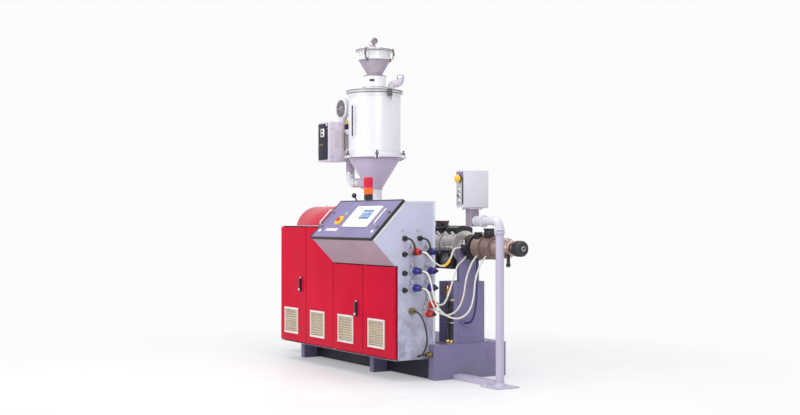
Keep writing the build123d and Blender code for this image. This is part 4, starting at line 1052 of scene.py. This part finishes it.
fitted(
    "heaterBoxFront",
    "navyPaint boxPaint whitePlastic blackPlastic redPlastic greenPlastic "
    "steel oldBrass beigePlastic yellowPlastic",
    dict(
        blocks=(
            ((7, 192), (-4, 1), (8, 332), 2, 1),  # door, its dark face and the switch plate
            ((12, 187), (-5.4, -3.6), (13, 327), 1, 0),
            ((62, 125), (-11, -5), (212, 284), 3, 2),
            *[((198, 203), (y, y + 48), (z, z + 9), 2.4, 1) for z in range(120, 265, 18) for y in (48, 112)],
            # beige strip under each louvre: painted shadow of the louvre
            *[((198, 200), (y, y + 42), (z - 4, z), .6, 8) for z in range(120, 265, 18) for y in (51, 115)],
            ((198, 200.6), (8, 14), (6, 334), .6, 1),
            *[((198, 204), (22, 44), (z, z + 16), 2, 6) for z in (40, 280)],  # hinges
            *[((10, 189), (y, y + 4), (339, 342), .8, 1) for y in (60, 150)],  # cover seams on the top
            ((207, 219), (144, 151), (77, 263), 1.5, 7),  # flat bar over the two arms
            ((202, 231), (150, 184), (274, 323), 3, 3)),  # connector on the upper arm
        turned=(
            (cap(9, 11, 12, 6, 4), 93.5, -11, (264, 232), toFront, 28, 3),
            (cap(5, 7, 8, 8, 6), 52, -5, 144, toFront, 24, 4),
            (cap(5, 7, 8, 8, 6), 84, -5, 144, toFront, 24, 5),
            (cap(7, 9, 10, 7, 5), 169, -5, 312, toFront, 24, 2),
            ([(0, 34), (8, 33), (10, 29), (10, 8), (13, 6), (13, 0)], 216, 166, 322, upward, 24, 9)),
        screws=(((20, 179), -5, (22, 282), toFront, 7, 6),),
        bolts=((213, 144, (85, 255), toFront, 6, 6),)),
    spot=moved(-1797, 307.6, 1695))


def fanDetails(v):
    bm = bmesh.new()
    spot = moved(*v["centre"])
    fitUp(bm, v, spot)
    guardRings(bm, spot(0, -3, 0), "y", v["rings"], 40, 3.6, 8, 0)
    guardSpokes(bm, spot(0, -2, 0), "y", v["reach"], 4, 4, 0, .2)
    for ray in compass("y", 6, .5):
        screw(bm, spot(0, .5, 0) + ray * .086, toFront, 8, 2)
    for foot, tip in zip(compass("y", 9), compass("y", 9, .35)):  # blades seen through the guard
        tube(bm, (spot(0, 6, 0) + foot * .018, spot(0, 6, 0) + tip * .070), 9, 6, 3)
    piece(bm, "fanDetails", "clampSteel whitePaint steel greyPlastic blackPaint")


fanDetails(dict(
    centre=(-1653.6, 453.6, 2156), rings=(32, 46, 60, 72), reach=75,
    turned=(
        (cap(15, 18, 19, 5, 2), 0, -1, 0, toFront, 28, 0),
        ([(73, -7), (75, 0), (81, 3), (87, 0), (88, -6)], 0, 0, 0, toFront, 56, 1),
        ([(0, 1), (74, 1), (75, 0)], 0, 8, 0, toFront, 48, 4)),
    ribs=((0, 0, 0, "y", 12, 48, (42, 90), 5, 3),),  # fins of the motor
    blocks=(((-22, 22), (50, 86), (44, 62), 3, 3),)))


def ductDetails(v):
    bm = bmesh.new()
    for spot, axis, size in v["bands"]:
        r = size / 2
        lathe(bm, band(r - .5, r + 2, 8, 7), at(*spot), axis, 40, 0)
        out = Vector(axis).orthogonal().normalized()
        bolt(bm, at(*spot) + out * (r + 2) / 1000, out, 7, 0)
    spot, axis, size = v["flange"]
    r = size / 2
    lathe(bm, collar(r - 1, r + 15, -4, 4, 1, 1), at(*spot), axis, 40, 1)
    for ray in compass("z", 6, .4):
        bolt(bm, at(*spot) + turnTo(axis) @ (ray * (r + 8) + Vector((0, 0, 4))) / 1000, axis, 6, 0)
    piece(bm, "ductDetails", "steel greyPaint")


ductDetails(dict(
    bands=(
        ((-1697, 573.6, 1690), upward, 76), ((-1697, 573.6, 1600), upward, 76),
        ((-1600, 586, 1511), (.99, .135, 0), 76), ((-1241, 809.3, 2409), upward, 62),
        ((-1395, 620, 2703), upward, 48)),
    flange=((-1697, 513, 1761), toBack, 76)))


def loaderDetails(v):
    bm = bmesh.new()
    hopperRings(bm, v)
    for kind in ("latch", "neckLatch"):
        for angle in v[kind]["angles"]:
            fitUp(bm, v[kind], **hopperSide(angle))
    lathe(bm, v["inletBand"], at(-1350, 620, 2723), toEnd, 36, 1)
    piece(bm, "loaderDetails", "sealBrown darkSteel blackPlastic")


loaderDetails(dict(
    inletBand=[(23.5, -6), (26, -5), (26.6, 0), (26, 5), (23.5, 6)],
    hoops=((160, 2628, 5, 0), (160, 2640, 5, 0), (137, 2552, 4, 0), (108, 2318, 4, 0), (97.5, 2418, 5, 0)),
    boltRings=((range(0, 360, 60), 118, 2652, 6, 1),),
    latch=dict(
        angles=(-58, 46, 150),
        blocks=(
            ((160.5, 165.5), (-7.5, 7.5), (2560, 2652), 1.4, 1),
            ((164, 174), (-10, 10), (2588, 2616), 1.4, 1), ((136, 144), (-10, 10), (2536, 2566), 1.4, 1)),
        bars=((((142, 0, 2552), (158, 0, 2566), (172, 0, 2600), (168, 0, 2636), (158, 0, 2648)), 6, 8, 1),)),
    neckLatch=dict(
        angles=(-44, 136), blocks=(((96, 104), (-22, 22), (2367, 2385), 2, 2),),
        bars=((((105, -16, 2376), (105, 0, 2376), (105, 16, 2376)), 6, 8, 1),))))

fitted("gateDetails", "steel brass", dict(
    bolts=(
        ((-1475, -1239), (502, 738), (1340, 1110), upward, 9, 0),
        ((-1457, -1387, -1327, -1257), 490, (1262, 1328), toFront, 6, 0),
        (-1257, (528, 712), (900, 1070), toEnd, 10, 0)),
    turned=((stud(8, 10, 15, (34, 30, 16, 14)), -1257, (540, 700), 930, toEnd, 6, 1),)))  # cooling unions
print("stage: dryer")


# Barrel: band clamps, terminals, fan guards

def barrelDetails(v):
    bm = bmesh.new()
    for number in range(v["zones"]):
        spot = moved(v["start"] + v["pitch"] * number, 0, 0)
        fitUp(bm, v["zone"], spot)
        guardRings(bm, spot(*v["fan"]), "y", v["rings"], 32, 3.4, 6, 2)
        guardSpokes(bm, spot(*v["fan"]), "y", v["reach"], 4, 3.4, 2)
        if number in v["boxes"]:
            fitUp(bm, v["box"], spot)
    piece(bm, "barrelDetails", "bandSteel whitePlastic steel brass blackPaint sealBrown")


barrelDetails(dict(
    zones=6, start=-1160, pitch=200, fan=(85, 491, 889), rings=(12, 24, 36, 47), reach=50,
    boxes=(0, 1, 2, 3, 4),
    zone=dict(
        turned=(
            (band(119, 122.4, 5, 4.4), (5, 165, 85), 620, 985, toEnd, 56, 0),
            # ceramic terminals
            (stud(7, 9, 12, (30, 27, 8, 6)), (40, 130), 540, 1076, (0, -.66, .75), 20, 1),
            (stud(5, 6, 10, (44, 40, 22, 20)), 185, 620, 1040, (0, -.25, .97), 18, 3)),  # heat sensor
        blocks=(
            ((4, 166), (497, 506), (976, 990), 1.5, 1),  # pale joint strip, partly a painted highlight across the bands at axis height
            *[((14, 156), (y - 2.5, y + 2.5), (1092, 1128), 1.5, 4) for y in (548, 692)]),  # rims of the cap
        bolts=(((24, 85, 146), 497, 983, toFront, 8, 2),),
        screws=(((21, 149), 492, (836, 942), toFront, 9, 2), ((36, 134), 620, 1146, upward, 10, 2))),
    box=dict(  # terminal boxes of the first zones
        blocks=(((18, 84), (578, 662), (1138, 1180), 5, 5), ((14, 88), (574, 666), (1174, 1184), 3, 5)),
        turned=((cap(9, 12, 12, 22, 18), 84, 600, 1160, toEnd, 20, 4),))))


def dieDetails(v):
    bm = bmesh.new()
    fitUp(bm, v)
    for step, ray in enumerate(compass("x", 8, .2)):
        bolt(bm, at(545, *v["axis"]) + ray * .060, toEnd, 10, 0)
        if step % 2:
            lathe(bm, v["centring"], at(512, *v["axis"]) + ray * .074, ray, 6, 0)
    piece(bm, "dieDetails", "steel heaterSteel blackPaint brass dieSteel")


dieDetails(dict(
    axis=(620, 985), centring=stud(7, 7.5, 10, (26, 24, 4, 4)),
    blocks=(
        *[((x - 42, x + 42), (606, 634), (1066, 1080), 2, 1) for x in (246, 362)],  # bars of the die heaters
        ((326, 396), (566, 612), (1058, 1122), 5, 2),  # terminal boxes
        ((322, 400), (562, 616), (1116, 1128), 3, 2),
        ((206, 262), (560, 604), (1046, 1100), 5, 2),
        *[((112, 168), (y - 12, y + 12), (962, 1008), 4, 2) for y in (724, 516)]),  # hinge and swing bolt
    bolts=(((216, 276, 332, 392), 620, 1080, upward, 8, 0),),
    turned=(
        (band(85.4, 88, 3, 2.6), (198, 294, 314, 410), 620, 985, toEnd, 48, 1),
        (cap(8, 11, 11, 24, 20), 322, 588, 1092, toDrive, 20, 3),
        (stud(5, 6, 11, (58, 52, 30, 28)), 448, 620, 1048, (0, -.5, .86), 20, 3),
        ([(40, 0), (52, 1), (53, 4), (53, 12), (50, 14), (40, 14)], 596, 620, 985, toEnd, 40, 4),
        ([(12, 0), (17, 1), (17, 6), (12, 7)], 728, 620, 985, toEnd, 28, 0),
        ([(0, 34), (8, 34), (8, 12), (13, 12), (13, 0)], 140, (724, 516), 1008, upward, 6, 0),
        ([(0, 20), (10, 19), (16, 14), (17, 0), (13, -8)], 596, 588, 872, (16, -12, -36), 20, 2)),
    bars=((((560, 614, 936), (580, 600, 908), (596, 588, 872)), 26, 14, 2),),  # lever under the nose
    ribs=((660, 620, 985, "x", 24, 55, (0, 56), 5, 2),)))  # knurled grips of the nut
print("stage: barrel and die")


# Control box, arm, post and beacon

fitted("controlBoxDetails", "greyPlastic consolePaint blackPlastic greyPaint steel mauvePaint", dict(
    blocks=(
        ((8, 76), (-3, 1), (20, 218), 1.5, 0),  # face, head strip and edge
        ((6, 90), (-4, 1), (228, 266), 2, 1),
        ((80, 92), (-4, 1), (26, 224), 2, 2),
        ((95.5, 97.6), (5, 215), (4, 274), 1.2, 3),
        *[((-5, 1), (y - 14, y + 14), (30, 60), 2, 4) for y in (40, 180)],
        ((-4, 100), (52, 168), (-8, 1), 2.5, 5)),  # plate on the arm
    turned=(
        ([(11, 6), (13, 5), (15, 0)], 40, -3, (135, 93, 53), toFront, 28, 4),  # buttons
        (cap(8, 10.5, 11, 12, 10, 2), 40, -3, (135, 53), toFront, 28, 0),
        (cap(8, 10.5, 11, 12, 10, 2), 40, -3, 93, toFront, 28, 2)),
    screws=((96, (12, 208), (12, 266), toEnd, 7, 4),),
    bolts=(((4, 92), (62, 158), -8, downward, 7, 4),)), "arm", spot=moved(225, 390, 1277))

fitted("knobHead", "yellowPlastic blackPlastic", dict(turned=(
    ([(0, 38), (14, 37.4), (24, 34), (29, 28.5), (30, 23), (28.5, 18), (24, 15), (17, 13.5), (16, 12),
      (17, 8), (19, 4), (19, 0)], 273, 390, 1492, toFront, 44, 0),
    ([(19, 0), (26, 0), (27, 2), (26, 5), (19, 6)], 273, 390, 1492, toFront, 44, 1))), "arm", "control_knob")


def armFlanges(v):
    bm = bmesh.new()
    fitUp(bm, v)
    for x in v["flanges"]:
        for ray in compass("x", 4, .78):
            bolt(bm, at(x + 5, 500, 1182) + ray * .037, toEnd, 6, 1)
    piece(bm, "armFlanges", "greyPaint steel", "arm")


armFlanges(dict(flanges=(404, 422), turned=(
    (collar(30, 45, -5, 5, 2), (404, 422), 500, 1182, toEnd, 36, 0),
    (collar(30, 39, -6, 6), 613, 500, 1122, upward, 36, 0),
    (band(30.2, 33, 3, 2), 540, 500, 1182, toEnd, 36, 0))))


def postDetails(v):
    bm = bmesh.new()
    fitUp(bm, v)
    for ray in compass("z", 4, .4):
        screw(bm, at(*v["head"]) + ray * .038, ray, 8, 1)
    piece(bm, "postDetails", "postPaint steel")


postDetails(dict(
    head=(613, 500, 1100), bolts=(((535, 691), (422, 578), 10, upward, 12, 1),),
    turned=(([(30, 22), (34, 20), (44, 10), (48, 0)], 613, 500, 10, upward, 36, 0),)))


def beaconDetails(v):
    bm = bmesh.new()
    spot = moved(*v["axis"], 0)
    fitUp(bm, v, spot)
    for ray in compass("z", 3):
        screw(bm, spot(0, 0, 1333) + ray * .028, upward, 6, 3)
    piece(bm, "beaconDetails", "amberLens redLens blackPlastic steel")


beaconDetails(dict(
    axis=(-733.2, 199.5),
    # ribs inside the lenses
    ribs=((0, 0, 1396, "z", 30, 34.6, (0, 45), 4.4, 0), (0, 0, 1449, "z", 30, 34.6, (0, 71), 4.4, 1)),
    turned=(
        ([(0, 5), (20, 4.4), (30, 2.6), (35, 0)], 0, 0, 1526, upward, 40, 1),
        (band(34.4, 36.4, 3, 2), 0, 0, (1352, 1362, 1372, 1382), upward, 40, 2))))
print("stage: control box and beacon")


# Floor

def hallFloor(v):
    tree, shader, place, axes = newMaterial("floorPaint")
    tone = mix(tree, remap(tree, noise(tree, place, 1.6, 6), .3, .7), v["colour"], v["shade"])
    tone = mix(tree, remap(tree, noise(tree, place, 60, 3), .55, .75, (0, .25)), tone, v["speck"])
    rough = remap(tree, noise(tree, place, 3, 4), .3, .7, v["rough"])
    wire(tree, shader, {"Base Color": tone, "Roughness": rough})
    bumpOn(tree, shader, noise(tree, place, 90, 3), .08, .001)
    far = addNode(tree, "VectorMath", {0: place}, operation="LENGTH").outputs["Value"]
    fade = times(tree, remap(tree, far, *v["fade"], (v["near"], 1)), seenRay(tree))  # into the backdrop
    glow = addNode(tree, "Emission", {"Color": v["backdrop"]})
    both = addNode(tree, "MixShader", {"Fac": fade, 1: shader.outputs[0], 2: glow.outputs[0]})
    wire(tree, tree.nodes["Material Output"], {"Surface": both.outputs[0]})
    bm = bmesh.new()
    bmesh.ops.create_grid(bm, x_segments=2, y_segments=2, size=v["half"])
    mesh = bpy.data.meshes.new("hallFloor")
    bm.to_mesh(mesh)
    bm.free()
    mesh.materials.append(looks["floorPaint"])
    floor = bpy.data.objects.new("hallFloor", mesh)
    scene.collection.objects.link(floor)


hallFloor(dict(
    half=40, colour=(.76, .76, .78), shade=(.70, .70, .72), speck=(.62, .62, .64), rough=(.4, .6),
    fade=(1.2, 3.6), near=.3, backdrop=(.97, .97, .98, 1)))
print("stage: floor")
